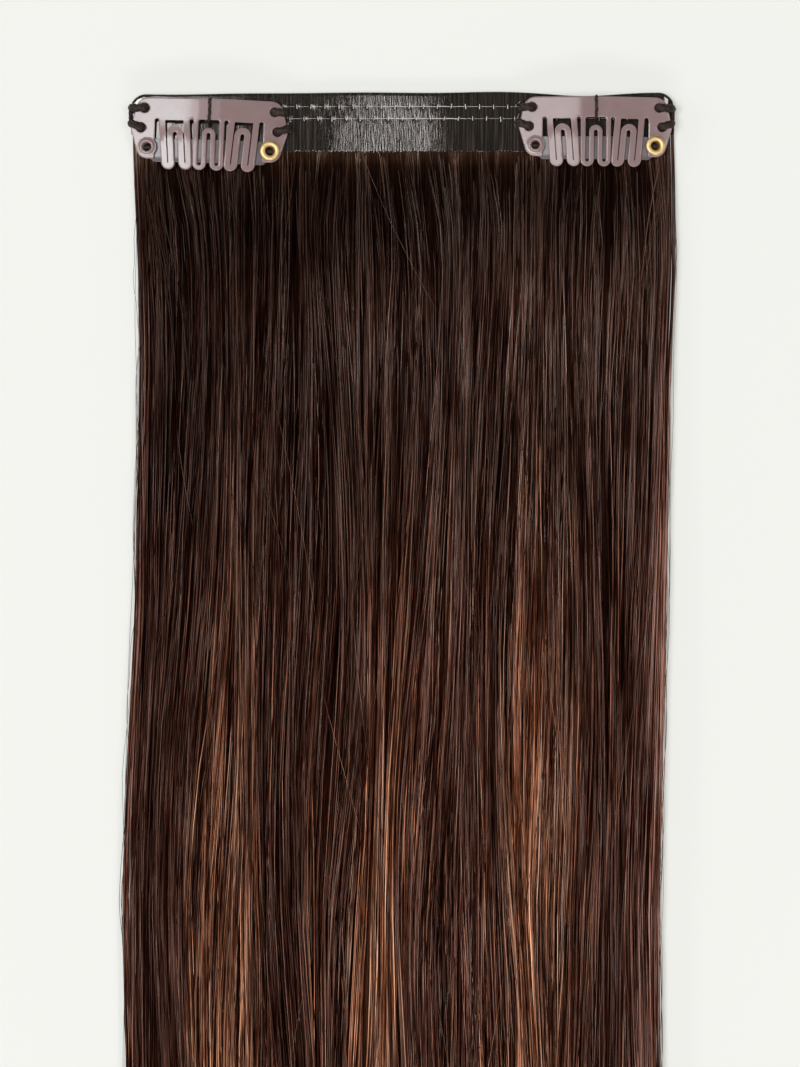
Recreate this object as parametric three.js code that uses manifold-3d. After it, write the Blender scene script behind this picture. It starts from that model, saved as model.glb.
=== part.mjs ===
// A clip-in filler hairpiece, lying face up: a folded film band that holds the roots of the
// hair, two sprung comb clips on it, and the straight hair below.
// Millimetres, +X along the band, +Y from the tips up to the band, +Z up off the surface.
// The origin is on that surface, under the middle of the whole piece.

import * as THREE from "three";
import { mergeVertices } from "three/addons/utils/BufferGeometryUtils.js";
import Module from "manifold-3d";

const wasm = await Module();
wasm.setup();

// The band, a clear film folded over the roots of the hair
const BAND_WIDTH = 113.2;
const BAND_HEIGHT = 12;
const BAND_CORNER = 2.2;
const BAND_END = 2.4; // solid film past each end of the roots
const BAND_FOLD = 1.4; // solid film above the roots
const FILM = 0.45;
const EDGE_DIP = 0.35; // how far the band's top edge sinks behind each clip

// The roots, a sewn sheet of hair inside the fold
const ROOT_SHEET = 0.4;
const ROOT_GAP = 0.1; // between the roots and the film, on each side
const ROOT_DEPTH = 1.5; // how far the sheet runs down into the hair

// The hair below the band
const HAIR_INSET = 0.3; // from the band's end in to the hair's side
const HAIR_LENGTH = 394;
const HAIR_THICKNESS = 6;
const HAIR_GAP = 0.15; // between the band's lower edge and the hair
const ROOT_STEP = 0.25; // how much thinner than the band the hair starts

// The clips
const CLIP_INSET = 0.35; // from the band's end in to the clip's
const CLIP_DROP = 1; // from the band's top edge down to the clip's
const LEFT_TURN = -2; // degrees, seen from the front
const RIGHT_TURN = -0.5;
const LAYER_GAP = 0.12; // between the sheets and flanges of a clip

// The comb plate, one stamping of spring steel
const PLATE_LENGTH = 32;
const PLATE_SLANT = 1.4; // how far the top edge stops short of the widest point
const PLATE_CORNER = 2.4;
const SHOULDER_ROUND = 0.65; // the rounding at its widest points
const PLATE_SHEET = 0.5;
const PLATE_CROWN = 1.5; // how far the plate arches up in the middle
const PLATE_FLAT = 4; // the straight stretch at the top of that arch
const SHOULDER_DROP = 6.3; // from the top edge down to the widest point
const LOBE_RADIUS = 2.35;
const RIVET_INSET = 3.6; // from the widest point in to the rivet
const RIVET_DROP = 10.05;
const SLOT = 0.75; // the width of the slots beside the teeth
const WINDOW_DROP = 4.3; // from the top edge down to the windows
const WINDOW_CORNER = 0.5;
const ARM_WIDTH = 5.02; // from the outer slots to the widest point
const UPPER_HOLE = { inset: 2.8, drop: 2.15, diameter: 1.9 };
const LOWER_HOLE = { inset: 2.15, drop: 6.15, diameter: 1.9 };

// The comb, three teeth of folded strip, each a W with round bends
const TOOTH_COUNT = 3;
const TOOTH_STRIP = 1.05;
const TOOTH_LEAN = 0.045; // each outer tooth's lean towards the middle, as a slope
const TOOTH_REACH = 14.5; // from the plate's top edge to the tips
const WINDOW_HEIGHT = 1.6; // from the top of a window down to the inner bend
const COMB_BEND = 0.3; // from the windows down to where the comb starts to rise

// The back bar that the comb closes on
const BAR_SHEET = 0.45;
const BAR_ABOVE = 1.85; // its edges above and below the rivets
const BAR_BELOW = 2.95;
const BAR_SHOULDER = 1.1; // from the rivet in to where it has its full height
const BAR_END_RADIUS = 2.1;

// The eyelets that rivet the bar to the plate
const EYELET_HOLE = 1.7;
const EYELET_WALL = 0.3;
const EYELET_FIT = 0.2; // round the shank, in the plate and the bar
const EYELET_FACE = 3.8;
const EYELET_FACE_THICKNESS = 0.42;
const EYELET_BACK = 3.1;
const EYELET_BACK_THICKNESS = 0.25;
const EYELET_SIDES = 14;

const ARC_STEPS = 3; // half the straight edges in a round bend
const LOCK_STEPS = 12;
const HOLE_SIDES = 12;
const CUT = 1; // how far a cutting solid passes through what it cuts
const DRILL = 4; // the length of a drill

// The comb's rise above the plate, at shares of the way from the windows to the tips. It
// arches over the bar and dips at the tips.
const COMB_RISE = [
  { along: 0, rise: 0 },
  { along: 0.5, rise: 0.4 },
  { along: 0.85, rise: 0.15 },
  { along: 1, rise: -0.35 },
];

// The hair's outline from the band down. along is a share of its length, width and sway are
// shares of its width, and loft runs from the root's thickness, 0, to the hair's, 1.
const HAIR_SECTIONS = [
  { along: 0, width: 1, sway: 0.002, loft: 0 },
  { along: 0.013, width: 1, sway: 0.004, loft: 0 },
  { along: 0.055, width: 0.993, sway: 0.008, loft: 0.35 },
  { along: 0.11, width: 0.979, sway: 0.006, loft: 0.62 },
  { along: 0.24, width: 0.979, sway: -0.003, loft: 0.88 },
  { along: 0.34, width: 0.988, sway: -0.016, loft: 1 },
  { along: 0.4, width: 0.988, sway: -0.021, loft: 1 },
  { along: 0.5, width: 0.984, sway: -0.016, loft: 0.94 },
  { along: 0.68, width: 0.972, sway: -0.004, loft: 0.75 },
  { along: 0.82, width: 0.95, sway: 0.002, loft: 0.52 },
  { along: 0.93, width: 0.915, sway: 0.004, loft: 0.27 },
  { along: 1, width: 0.87, sway: 0.004, loft: 0 },
];

// The locks that lie on the under layer, from left to right. at runs from -1 to 1 across
// the hair, width and drift are shares of its width, lift is the top's share of its
// thickness, and reach is the share of its length where the tip lies.
const LOCKS = [
  { at: -1, width: 0.1, lift: 0.92, reach: 0.972, drift: 0.004 },
  { at: -0.83, width: 0.112, lift: 0.94, reach: 0.988, drift: -0.006 },
  { at: -0.64, width: 0.12, lift: 1, reach: 0.978, drift: -0.012 },
  { at: -0.44, width: 0.118, lift: 0.9, reach: 0.992, drift: 0.006 },
  { at: -0.26, width: 0.096, lift: 0.84, reach: 0.98, drift: 0.008 },
  { at: -0.07, width: 0.128, lift: 1, reach: 1, drift: -0.014 },
  { at: 0.13, width: 0.106, lift: 0.88, reach: 0.984, drift: -0.006 },
  { at: 0.32, width: 0.112, lift: 0.94, reach: 0.994, drift: 0.006 },
  { at: 0.52, width: 0.124, lift: 1, reach: 0.98, drift: 0.008 },
  { at: 0.71, width: 0.108, lift: 0.88, reach: 0.992, drift: -0.006 },
  { at: 0.87, width: 0.1, lift: 0.95, reach: 0.976, drift: 0.005 },
  { at: 1, width: 0.092, lift: 0.92, reach: 0.986, drift: -0.003 },
];
const LOCK_FOOT = 0.25; // where a lock's sides start, as a share of the hair's thickness
const LOCK_TIP = 0.93; // the share of a lock's length past which it narrows
const LOCK_POINT = 0.4; // the width left at its tip, as a share
const LOCK_SIDES = 6; // straight edges over its round top
const UNDER_SHARE = 0.62; // the under layer's share of the hair's thickness
const UNDER_REACH = 0.96; // and of its length

const MATERIALS = {
  film: { color: "#4a423d", roughness: 0.35, metalness: 0 },
  hair: { color: "#4a2c22", roughness: 0.5, metalness: 0 },
  paint: { color: "#96858a", roughness: 0.35, metalness: 0.4 },
  brass: { color: "#c9a463", roughness: 0.3, metalness: 1 },
};

const degrees = THREE.MathUtils.degToRad;

// A column of a table at a place between its rows.
function tableAt(rows, key, column, value) {
  const after = rows.findIndex((row) => row[key] >= value);
  if (after === -1) return rows.at(-1)[column];
  if (after === 0) return rows[0][column];
  const [low, high] = [rows[after - 1], rows[after]];
  const share = (value - low[key]) / (high[key] - low[key]);
  return low[column] + share * (high[column] - low[column]);
}

// Closed meshes to solids and back, for the cuts and joins

function solid(geometry) {
  const bare = geometry.clone();
  bare.deleteAttribute("normal");
  bare.deleteAttribute("uv");
  const merged = mergeVertices(bare, 1e-4);
  return new wasm.Manifold(
    new wasm.Mesh({
      numProp: 3,
      vertProperties: merged.attributes.position.array,
      triVerts: new Uint32Array(merged.index.array),
    }),
  );
}

function geometryOf(made) {
  const mesh = made.getMesh();
  const geometry = new THREE.BufferGeometry();
  geometry.setAttribute("position", new THREE.BufferAttribute(mesh.vertProperties, 3));
  geometry.setIndex(new THREE.BufferAttribute(mesh.triVerts, 1));
  geometry.computeVertexNormals();
  return geometry;
}

function slab(shape, low, high) {
  const geometry = new THREE.ExtrudeGeometry(shape, {
    depth: high - low,
    bevelEnabled: false,
    curveSegments: ARC_STEPS,
  });
  return geometry.translate(0, 0, low);
}

function block(low, high) {
  const size = new THREE.Vector3().subVectors(high, low);
  const middle = new THREE.Vector3().addVectors(low, high).multiplyScalar(0.5);
  return new THREE.BoxGeometry(size.x, size.y, size.z).translate(middle.x, middle.y, middle.z);
}

// Joins sections of equal length, each a ring of points that runs clockwise when seen
// from beyond the first section, into one closed mesh.
function loft(sections) {
  const count = sections[0].length;
  const points = sections.flat();
  const last = points.length - count;
  const faces = [];
  for (let s = 0; s + 1 < sections.length; s++) {
    for (let i = 0; i < count; i++) {
      const next = (i + 1) % count;
      const [a, b] = [s * count + i, s * count + next];
      faces.push(a, b, a + count, b, b + count, a + count);
    }
  }
  for (let i = 1; i + 1 < count; i++) {
    faces.push(0, i + 1, i, last, last + i, last + i + 1);
  }
  const geometry = new THREE.BufferGeometry().setFromPoints(points);
  geometry.setIndex(faces);
  return geometry;
}

// The clip's arch, straight between its crease lines

const ARCH_HALF = PLATE_LENGTH / 2;
const FLAT_HALF = PLATE_FLAT / 2;
const ARM_INNER = ARCH_HALF - ARM_WIDTH;
const CREASES = [0, 0.5, 1].map((share) => FLAT_HALF + share * (ARM_INNER - TOOTH_STRIP - FLAT_HALF));

const ARCH = [
  ...CREASES.map((out) => ({
    out,
    height: PLATE_CROWN * (1 - ((out - FLAT_HALF) / (ARCH_HALF - FLAT_HALF)) ** 2),
  })),
  { out: ARCH_HALF, height: 0 },
];

const archAt = (x) => tableAt(ARCH, "out", "height", Math.abs(x));
const ARM_SLOPE = ARCH.at(-2).height / (ARCH_HALF - CREASES.at(-1));
const RIVET_OUT = ARCH_HALF - RIVET_INSET;
const COMB_TOP = WINDOW_DROP + COMB_BEND;
const SHANK_RADIUS = EYELET_HOLE / 2 + EYELET_WALL;
const RIVET_HOLE = 2 * (SHANK_RADIUS + EYELET_FIT);

// Heights above the band's front face, at the rivets, each layer on the one below
const BACK_LIP_DROP = (EYELET_BACK / 2) * ARM_SLOPE;
const BAR_LOW = LAYER_GAP + BACK_LIP_DROP + EYELET_BACK_THICKNESS + LAYER_GAP;
const PLATE_LOW = BAR_LOW + BAR_SHEET + LAYER_GAP;
const PLATE_HIGH = PLATE_LOW + PLATE_SHEET;

function combRise(x, y) {
  if (Math.abs(x) > ARM_INNER - SLOT / 2 || y >= -COMB_TOP) return 0;
  const along = (-y - COMB_TOP) / (TOOTH_REACH - COMB_TOP);
  return tableAt(COMB_RISE, "along", "rise", along);
}

// Cuts every triangle that crosses the plane where an axis has a value, so that a flat
// sheet can be creased along that line.
function crease(geometry, axis, value) {
  const flat = geometry.index ? geometry.toNonIndexed() : geometry;
  const source = flat.attributes.position;
  const points = [];
  for (let i = 0; i < source.count; i += 3) {
    const corners = [0, 1, 2].map((k) => new THREE.Vector3().fromBufferAttribute(source, i + k));
    const sides = corners.map((p) => Math.sign(Math.abs(p[axis] - value) < 1e-5 ? 0 : p[axis] - value));
    if (!sides.includes(1) || !sides.includes(-1)) {
      points.push(...corners);
      continue;
    }
    const above = [];
    const below = [];
    corners.forEach((p, k) => {
      const q = corners[(k + 1) % 3];
      if (sides[k] >= 0) above.push(p);
      if (sides[k] <= 0) below.push(p);
      if (sides[k] * sides[(k + 1) % 3] < 0) {
        const [from, to] = p[axis] < q[axis] ? [p, q] : [q, p];
        const cut = from.clone().lerp(to, (value - from[axis]) / (to[axis] - from[axis]));
        above.push(cut);
        below.push(cut);
      }
    });
    for (const half of [above, below]) {
      for (let k = 1; k + 1 < half.length; k++) points.push(half[0], half[k], half[k + 1]);
    }
  }
  return new THREE.BufferGeometry().setFromPoints(points);
}

// Bends a flat clip sheet to the arch, and its comb over the bar.
function archSheet(flat, rows, rise) {
  let sheet = flat;
  for (const out of CREASES) {
    sheet = crease(crease(sheet, "x", out), "x", -out);
  }
  for (const { along } of rows) {
    sheet = crease(sheet, "y", -COMB_TOP - along * (TOOTH_REACH - COMB_TOP));
  }
  const place = sheet.attributes.position;
  for (let i = 0; i < place.count; i++) {
    const [x, y] = [place.getX(i), place.getY(i)];
    place.setZ(i, place.getZ(i) + archAt(x) - archAt(RIVET_OUT) + rise(x, y));
  }
  return solid(sheet);
}

// The comb plate's flat outline

// A tooth's four legs stand two bend radii apart.
const HALF_STRIP = TOOTH_STRIP / 2;
const TOOTH_PITCH = (2 * ARM_INNER - SLOT) / TOOTH_COUNT;
const LEG_OUT = (TOOTH_PITCH - SLOT - TOOTH_STRIP) / 2;
const BEND_RADIUS = LEG_OUT / 3;
const BEND_OUT = 2 * BEND_RADIUS; // from a tooth's middle to its lower bends' centres
const LOWER_BEND_Y = -TOOTH_REACH + BEND_RADIUS + HALF_STRIP;
const UPPER_BEND_Y = -WINDOW_DROP - WINDOW_HEIGHT - BEND_RADIUS - HALF_STRIP;
const SLOT_TOP_Y = -WINDOW_DROP - SLOT / 2;
const toothMiddles = Array.from(
  { length: TOOTH_COUNT },
  (_, i) => (i - (TOOTH_COUNT - 1) / 2) * TOOTH_PITCH,
);

// A tooth's outer edge, from the left slot down, round its bends and up to the right slot.
function drawToothOutside(shape, middle) {
  const wide = BEND_RADIUS + HALF_STRIP;
  shape.lineTo(middle - LEG_OUT - HALF_STRIP, LOWER_BEND_Y);
  shape.absarc(middle - BEND_OUT, LOWER_BEND_Y, wide, Math.PI, 2 * Math.PI, false);
  shape.lineTo(middle - BEND_RADIUS + HALF_STRIP, UPPER_BEND_Y);
  shape.absarc(middle, UPPER_BEND_Y, BEND_RADIUS - HALF_STRIP, Math.PI, 0, true);
  shape.lineTo(middle + BEND_RADIUS - HALF_STRIP, LOWER_BEND_Y);
  shape.absarc(middle + BEND_OUT, LOWER_BEND_Y, wide, Math.PI, 2 * Math.PI, false);
  shape.lineTo(middle + LEG_OUT + HALF_STRIP, SLOT_TOP_Y);
}

// Runs up to a corner, round it and on towards the next point.
function roundCorner(path, before, corner, after, size) {
  const towards = (point) => corner.clone().lerp(point, size / corner.distanceTo(point));
  const [from, to] = [towards(before), towards(after)];
  path.lineTo(from.x, from.y);
  path.quadraticCurveTo(corner.x, corner.y, to.x, to.y);
}

// The gap inside a tooth: the window under the plate's web and the two slits below it.
function toothWindow(middle) {
  const narrow = BEND_RADIUS - HALF_STRIP;
  const side = LEG_OUT - HALF_STRIP;
  const [left, right] = [-1, 1].map((end) => new THREE.Vector2(middle + end * side, -WINDOW_DROP));
  const [leftFoot, rightFoot] = [left, right].map((corner) => new THREE.Vector2(corner.x, LOWER_BEND_Y));
  const hole = new THREE.Path();
  hole.moveTo(middle, -WINDOW_DROP);
  roundCorner(hole, right, left, leftFoot, WINDOW_CORNER);
  hole.lineTo(leftFoot.x, leftFoot.y);
  hole.absarc(middle - BEND_OUT, LOWER_BEND_Y, narrow, Math.PI, 2 * Math.PI, false);
  hole.lineTo(middle - BEND_RADIUS - HALF_STRIP, UPPER_BEND_Y);
  hole.absarc(middle, UPPER_BEND_Y, BEND_RADIUS + HALF_STRIP, Math.PI, 0, true);
  hole.lineTo(middle + BEND_RADIUS + HALF_STRIP, LOWER_BEND_Y);
  hole.absarc(middle + BEND_OUT, LOWER_BEND_Y, narrow, Math.PI, 2 * Math.PI, false);
  roundCorner(hole, rightFoot, right, left, WINDOW_CORNER);
  hole.lineTo(middle, -WINDOW_DROP);
  return hole;
}

function plateOutline() {
  const end = (side, out, y) => new THREE.Vector2(side * out, y);
  const [topLeft, topRight] = [-1, 1].map((side) => end(side, ARCH_HALF - PLATE_SLANT, 0));
  const [left, right] = [-1, 1].map((side) => end(side, ARCH_HALF, -SHOULDER_DROP));
  const rivet = end(1, RIVET_OUT, -RIVET_DROP);
  const meet = Math.acos(LOBE_RADIUS / rivet.distanceTo(right)) - right.clone().sub(rivet).angle();
  const foot = rivet.y - LOBE_RADIUS;
  const shape = new THREE.Shape();
  shape.moveTo(0, 0);
  roundCorner(shape, topRight, topLeft, left, PLATE_CORNER);
  roundCorner(shape, topLeft, left, end(-1, RIVET_OUT + LOBE_RADIUS, -RIVET_DROP), SHOULDER_ROUND);
  shape.absarc(-rivet.x, rivet.y, LOBE_RADIUS, Math.PI + meet, 1.5 * Math.PI, false);
  for (const middle of toothMiddles) {
    drawSlot(shape, middle - TOOTH_PITCH / 2, middle === toothMiddles[0] ? foot : null);
    drawToothOutside(shape, middle);
  }
  drawSlot(shape, toothMiddles.at(-1) + TOOTH_PITCH / 2, null);
  shape.lineTo(toothMiddles.at(-1) + TOOTH_PITCH / 2 + SLOT / 2, foot);
  shape.lineTo(rivet.x, foot);
  shape.absarc(rivet.x, rivet.y, LOBE_RADIUS, 1.5 * Math.PI, 2 * Math.PI - meet, false);
  roundCorner(shape, end(1, RIVET_OUT + LOBE_RADIUS, -RIVET_DROP), right, topRight, SHOULDER_ROUND);
  roundCorner(shape, right, topRight, topLeft, PLATE_CORNER);
  shape.holes.push(...toothMiddles.map(toothWindow));
  return shape;
}

// The round top of a slot, from its left side over to its right. The first slot's left side
// starts at the arm's foot.
function drawSlot(shape, x, foot) {
  if (foot !== null) shape.lineTo(x - SLOT / 2, foot);
  shape.lineTo(x - SLOT / 2, SLOT_TOP_Y);
  shape.absarc(x, SLOT_TOP_Y, SLOT / 2, Math.PI, 0, true);
}

// Leans the outer teeth towards the middle, more the nearer they are to their tips.
function leanTeeth(geometry) {
  const place = geometry.attributes.position;
  for (let i = 0; i < place.count; i++) {
    const [x, y] = [place.getX(i), place.getY(i)];
    if (Math.abs(x) > ARM_INNER - SLOT / 2 || y >= SLOT_TOP_Y) continue;
    const away = (middle) => Math.abs(x - middle);
    const nearest = toothMiddles.reduce((best, middle) => (away(middle) < away(best) ? middle : best));
    place.setX(i, x - (nearest / TOOTH_PITCH) * TOOTH_LEAN * (SLOT_TOP_Y - y));
  }
  return geometry;
}

// Drills a hole at each end of a bent sheet, square to its sloping arms.
function drillArms(sheet, holes) {
  let made = sheet;
  for (const { inset, drop, diameter } of holes) {
    const out = ARCH_HALF - inset;
    for (const side of [-1, 1]) {
      const drill = new THREE.CylinderGeometry(diameter / 2, diameter / 2, DRILL, HOLE_SIDES);
      drill.rotateX(Math.PI / 2).rotateY(side * Math.atan(ARM_SLOPE));
      drill.translate(side * out, -drop, (BAR_LOW + PLATE_HIGH) / 2 + archAt(out) - archAt(RIVET_OUT));
      made = made.subtract(solid(drill));
    }
  }
  return geometryOf(made);
}

const RIVET = { inset: RIVET_INSET, drop: RIVET_DROP, diameter: RIVET_HOLE };

function combPlate() {
  const flat = slab(plateOutline(), PLATE_LOW, PLATE_HIGH);
  const bent = archSheet(leanTeeth(flat), COMB_RISE.slice(0, -1), combRise);
  return drillArms(bent, [UPPER_HOLE, LOWER_HOLE, RIVET]);
}

function backBar() {
  const shoulder = RIVET_OUT - BAR_SHOULDER;
  const head = -RIVET_DROP + BAR_ABOVE;
  const foot = -RIVET_DROP - BAR_BELOW;
  const shape = new THREE.Shape();
  shape.moveTo(-shoulder, foot);
  shape.lineTo(shoulder, foot);
  shape.absarc(RIVET_OUT, -RIVET_DROP, BAR_END_RADIUS, 1.5 * Math.PI, 2.5 * Math.PI, false);
  shape.lineTo(shoulder, head);
  shape.lineTo(-shoulder, head);
  shape.absarc(-RIVET_OUT, -RIVET_DROP, BAR_END_RADIUS, 0.5 * Math.PI, 1.5 * Math.PI, false);
  const flat = slab(shape, BAR_LOW, BAR_LOW + BAR_SHEET);
  return drillArms(archSheet(flat, [], () => 0), [RIVET]);
}

// A hollow rivet with a rounded face, a straight shank and a flat back lip.
function eyelet() {
  const bore = EYELET_HOLE / 2;
  const back = BAR_LOW - LAYER_GAP;
  const face = PLATE_HIGH + LAYER_GAP;
  const top = face + EYELET_FACE_THICKNESS;
  const ring = EYELET_FACE / 2 - bore;
  const profile = [
    [bore, back - EYELET_BACK_THICKNESS],
    [EYELET_BACK / 2, back - EYELET_BACK_THICKNESS],
    [EYELET_BACK / 2, back],
    [SHANK_RADIUS, back],
    [SHANK_RADIUS, face],
    [EYELET_FACE / 2, face],
    [EYELET_FACE / 2 - ring * 0.1, face + EYELET_FACE_THICKNESS * 0.6],
    [EYELET_FACE / 2 - ring * 0.42, top],
    [bore + ring * 0.33, top],
    [bore, face + EYELET_FACE_THICKNESS * 0.4],
    [bore, back - EYELET_BACK_THICKNESS],
  ].map(([radius, height]) => new THREE.Vector2(radius, height));
  return new THREE.LatheGeometry(profile, EYELET_SIDES).rotateX(Math.PI / 2);
}

// The band and the hair

const BAND_THICKNESS = 2 * (FILM + ROOT_GAP) + ROOT_SHEET;
const CLIP_OUT = BAND_WIDTH / 2 - CLIP_INSET - ARCH_HALF;
const POCKET_HALF = BAND_WIDTH / 2 - BAND_END;

// The band's y is 0 at its top edge. That edge dips behind each clip.
function weftBand() {
  const half = BAND_WIDTH / 2;
  const edge = [
    new THREE.Vector2(CLIP_OUT, -EDGE_DIP),
    new THREE.Vector2(0, 0),
    new THREE.Vector2(-CLIP_OUT, -EDGE_DIP),
    new THREE.Vector2(-half + BAND_CORNER, 0),
  ];
  const shape = new THREE.Shape();
  shape.moveTo(-half, -BAND_HEIGHT);
  shape.lineTo(half, -BAND_HEIGHT);
  shape.lineTo(half, -BAND_CORNER);
  shape.quadraticCurveTo(half, 0, half - BAND_CORNER, 0);
  shape.splineThru(edge);
  shape.quadraticCurveTo(-half, 0, -half, -BAND_CORNER);
  const pocket = block(
    new THREE.Vector3(-POCKET_HALF, -BAND_HEIGHT - CUT, FILM),
    new THREE.Vector3(POCKET_HALF, -BAND_FOLD, BAND_THICKNESS - FILM),
  );
  return geometryOf(solid(slab(shape, 0, BAND_THICKNESS)).subtract(solid(pocket)));
}

const ROOT_THICKNESS = BAND_THICKNESS - ROOT_STEP;
const HAIR_WIDTH = BAND_WIDTH - 2 * HAIR_INSET;
const HAIR_TOP_Y = -BAND_HEIGHT - HAIR_GAP;

const hairY = (along) => HAIR_TOP_Y - along * HAIR_LENGTH;
const hairAt = (along, column) => tableAt(HAIR_SECTIONS, "along", column, along);
const hairThickness = (along) =>
  ROOT_THICKNESS + hairAt(along, "loft") * (HAIR_THICKNESS - ROOT_THICKNESS);

// The flat-bottomed body of the hair, which the locks lie on.
function underLayer() {
  const places = HAIR_SECTIONS.map((row) => row.along).filter((along) => along < UNDER_REACH);
  places.push(UNDER_REACH);
  return loft(
    places.map((along) => {
      const height = hairThickness(along) * UNDER_SHARE;
      const half = (hairAt(along, "width") * HAIR_WIDTH) / 2;
      const middle = hairAt(along, "sway") * HAIR_WIDTH;
      const round = height * 0.6;
      return [
        [-half + round, 0],
        [half - round, 0],
        [half, height * 0.45],
        [half - round, height],
        [-half + round, height],
        [-half, height * 0.45],
      ].map(([x, z]) => new THREE.Vector3(middle + x, hairY(along), z));
    }),
  );
}

// One lock, a half-round strip that wanders a little sideways and narrows to its tip.
function lock({ at, width, lift, reach, drift }) {
  const sections = [];
  for (let step = 0; step <= LOCK_STEPS; step++) {
    const share = step / LOCK_STEPS;
    const along = share * reach;
    const pinch = THREE.MathUtils.clamp((share - LOCK_TIP) / (1 - LOCK_TIP), 0, 1);
    const half = ((width * HAIR_WIDTH) / 2) * (1 - (1 - LOCK_POINT) * pinch ** 1.5);
    const span = (hairAt(along, "width") * HAIR_WIDTH - width * HAIR_WIDTH) / 2;
    const sway = hairAt(along, "sway") + drift * Math.sin(share * 1.5 * Math.PI);
    const thickness = hairThickness(along);
    const foot = thickness * LOCK_FOOT;
    const ring = [];
    for (let i = 0; i <= LOCK_SIDES; i++) {
      const angle = (i / LOCK_SIDES) * Math.PI;
      const x = sway * HAIR_WIDTH + at * span + Math.cos(angle) * half;
      ring.push(new THREE.Vector3(x, hairY(along), foot + Math.sin(angle) * (thickness * lift - foot)));
    }
    sections.push(ring);
  }
  return loft(sections);
}

// The sewn roots, which stand up into the band's fold.
function rootSheet() {
  const low = FILM + ROOT_GAP;
  const half = POCKET_HALF - ROOT_GAP;
  return block(
    new THREE.Vector3(-half, HAIR_TOP_Y - ROOT_DEPTH, low),
    new THREE.Vector3(half, -BAND_FOLD - ROOT_GAP, low + ROOT_SHEET),
  );
}

function hairFall() {
  const pieces = [rootSheet(), ...LOCKS.map(lock)].map(solid);
  return geometryOf(pieces.reduce((made, piece) => made.add(piece), solid(underLayer())));
}

// The assembly

function named(name, geometry, finish) {
  const material = new THREE.MeshStandardMaterial({ name: finish, ...MATERIALS[finish] });
  const mesh = new THREE.Mesh(geometry, material);
  mesh.name = name;
  return mesh;
}

function clip(side, x, turn) {
  const group = new THREE.Group();
  group.add(named(`${side}_clip_comb_plate`, combPlate(), "paint"));
  group.add(named(`${side}_clip_back_bar`, backBar(), "paint"));
  for (const [out, finish] of [[-RIVET_OUT, "paint"], [RIVET_OUT, "brass"]]) {
    const rivet = named(`${side}_clip_${finish}_eyelet`, eyelet(), finish);
    const middle = (BAR_LOW + PLATE_HIGH) / 2;
    rivet.geometry.translate(0, 0, -middle);
    rivet.position.set(out, -RIVET_DROP, middle);
    rivet.rotation.y = Math.sign(out) * Math.atan(ARM_SLOPE);
    group.add(rivet);
  }
  group.position.set(x, -CLIP_DROP, BAND_THICKNESS);
  group.rotation.z = degrees(turn);
  return group;
}

const hairpiece = new THREE.Group();
hairpiece.add(named("weft_band", weftBand(), "film"));
hairpiece.add(named("hair_fall", hairFall(), "hair"));
hairpiece.add(clip("left", -CLIP_OUT, LEFT_TURN));
hairpiece.add(clip("right", CLIP_OUT, RIGHT_TURN));

const bounds = new THREE.Box3().setFromObject(hairpiece);
const middle = bounds.getCenter(new THREE.Vector3());
hairpiece.position.set(-middle.x, -middle.y, -bounds.min.z);

const part = new THREE.Group();
part.add(hairpiece);

export default part;
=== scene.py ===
"""A clip-in filler hairpiece, lying face up on a pale table and seen from straight above:
a film band over the roots of the hair, two sprung comb clips sewn on it, and straight hair.

All sizes are in millimetres until a mesh is made. x runs along the band, y from the tips
up to the band, and z up off the table."""

import math

import bpy
import numpy as np
from mathutils import Matrix, Vector
from mathutils.bvhtree import BVHTree

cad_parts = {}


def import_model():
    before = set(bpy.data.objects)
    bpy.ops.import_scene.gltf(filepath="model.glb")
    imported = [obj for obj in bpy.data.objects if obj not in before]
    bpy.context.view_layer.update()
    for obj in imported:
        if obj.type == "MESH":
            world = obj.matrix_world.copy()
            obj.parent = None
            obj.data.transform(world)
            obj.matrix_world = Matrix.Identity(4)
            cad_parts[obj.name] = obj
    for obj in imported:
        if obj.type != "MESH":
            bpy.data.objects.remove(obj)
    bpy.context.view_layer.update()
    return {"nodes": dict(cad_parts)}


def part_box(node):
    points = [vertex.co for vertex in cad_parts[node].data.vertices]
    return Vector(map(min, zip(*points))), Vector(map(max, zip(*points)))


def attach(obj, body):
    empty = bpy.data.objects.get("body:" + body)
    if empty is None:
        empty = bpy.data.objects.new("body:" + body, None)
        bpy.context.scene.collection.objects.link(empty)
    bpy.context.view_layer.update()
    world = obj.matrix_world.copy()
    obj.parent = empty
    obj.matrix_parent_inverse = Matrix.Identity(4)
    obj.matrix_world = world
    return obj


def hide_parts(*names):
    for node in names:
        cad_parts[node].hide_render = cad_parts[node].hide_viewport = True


MM = 0.001

# The photograph's frame, as a share of the object's own size
VIEW_LENS = 100
VIEW_HEIGHT = 222.3
VIEW_X = 0.11
VIEW_Y = 111.3

# The band
BAND_WIDTH = 113.2
BAND_HEIGHT = 12
BAND_CORNER = 3.2
FILM = 0.45
FOLD_GAP = 0.6

# The stitching in the band
STITCH_ROWS = (2.75, 5.25)
STITCH_PITCH = 2.93
STITCH_THREAD = 0.16

# The hair, with the outline of the solid that it stands for. along is a share of the
# length, width a share of the width, and sway is in thousandths of the width. The core
# thins over the last TIPS millimetres before its end.
HAIR_WIDTH = 112.6
HAIR_LENGTH = 394
HAIR_TUCK = 2.2
TIPS = 50
CORE_END = 0.94
CORE_INSET = 0.982
STRAND_FLOOR = 0.13
STRAND_CEILING = 6.4
HAIR_OUTLINE = {
    "along": (0, 0.013, 0.055, 0.11, 0.24, 0.34, 0.4, 0.5, 0.68, 0.82, 0.93, 1),
    "width": (1, 1, 0.993, 0.979, 0.979, 0.988, 0.988, 0.984, 0.972, 0.95, 0.915, 0.87),
    "sway": (2, 4, 8, 6, -3, -16, -21, -16, -4, 2, 4, 4),
}
SWAY_UNIT = 0.001

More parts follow.
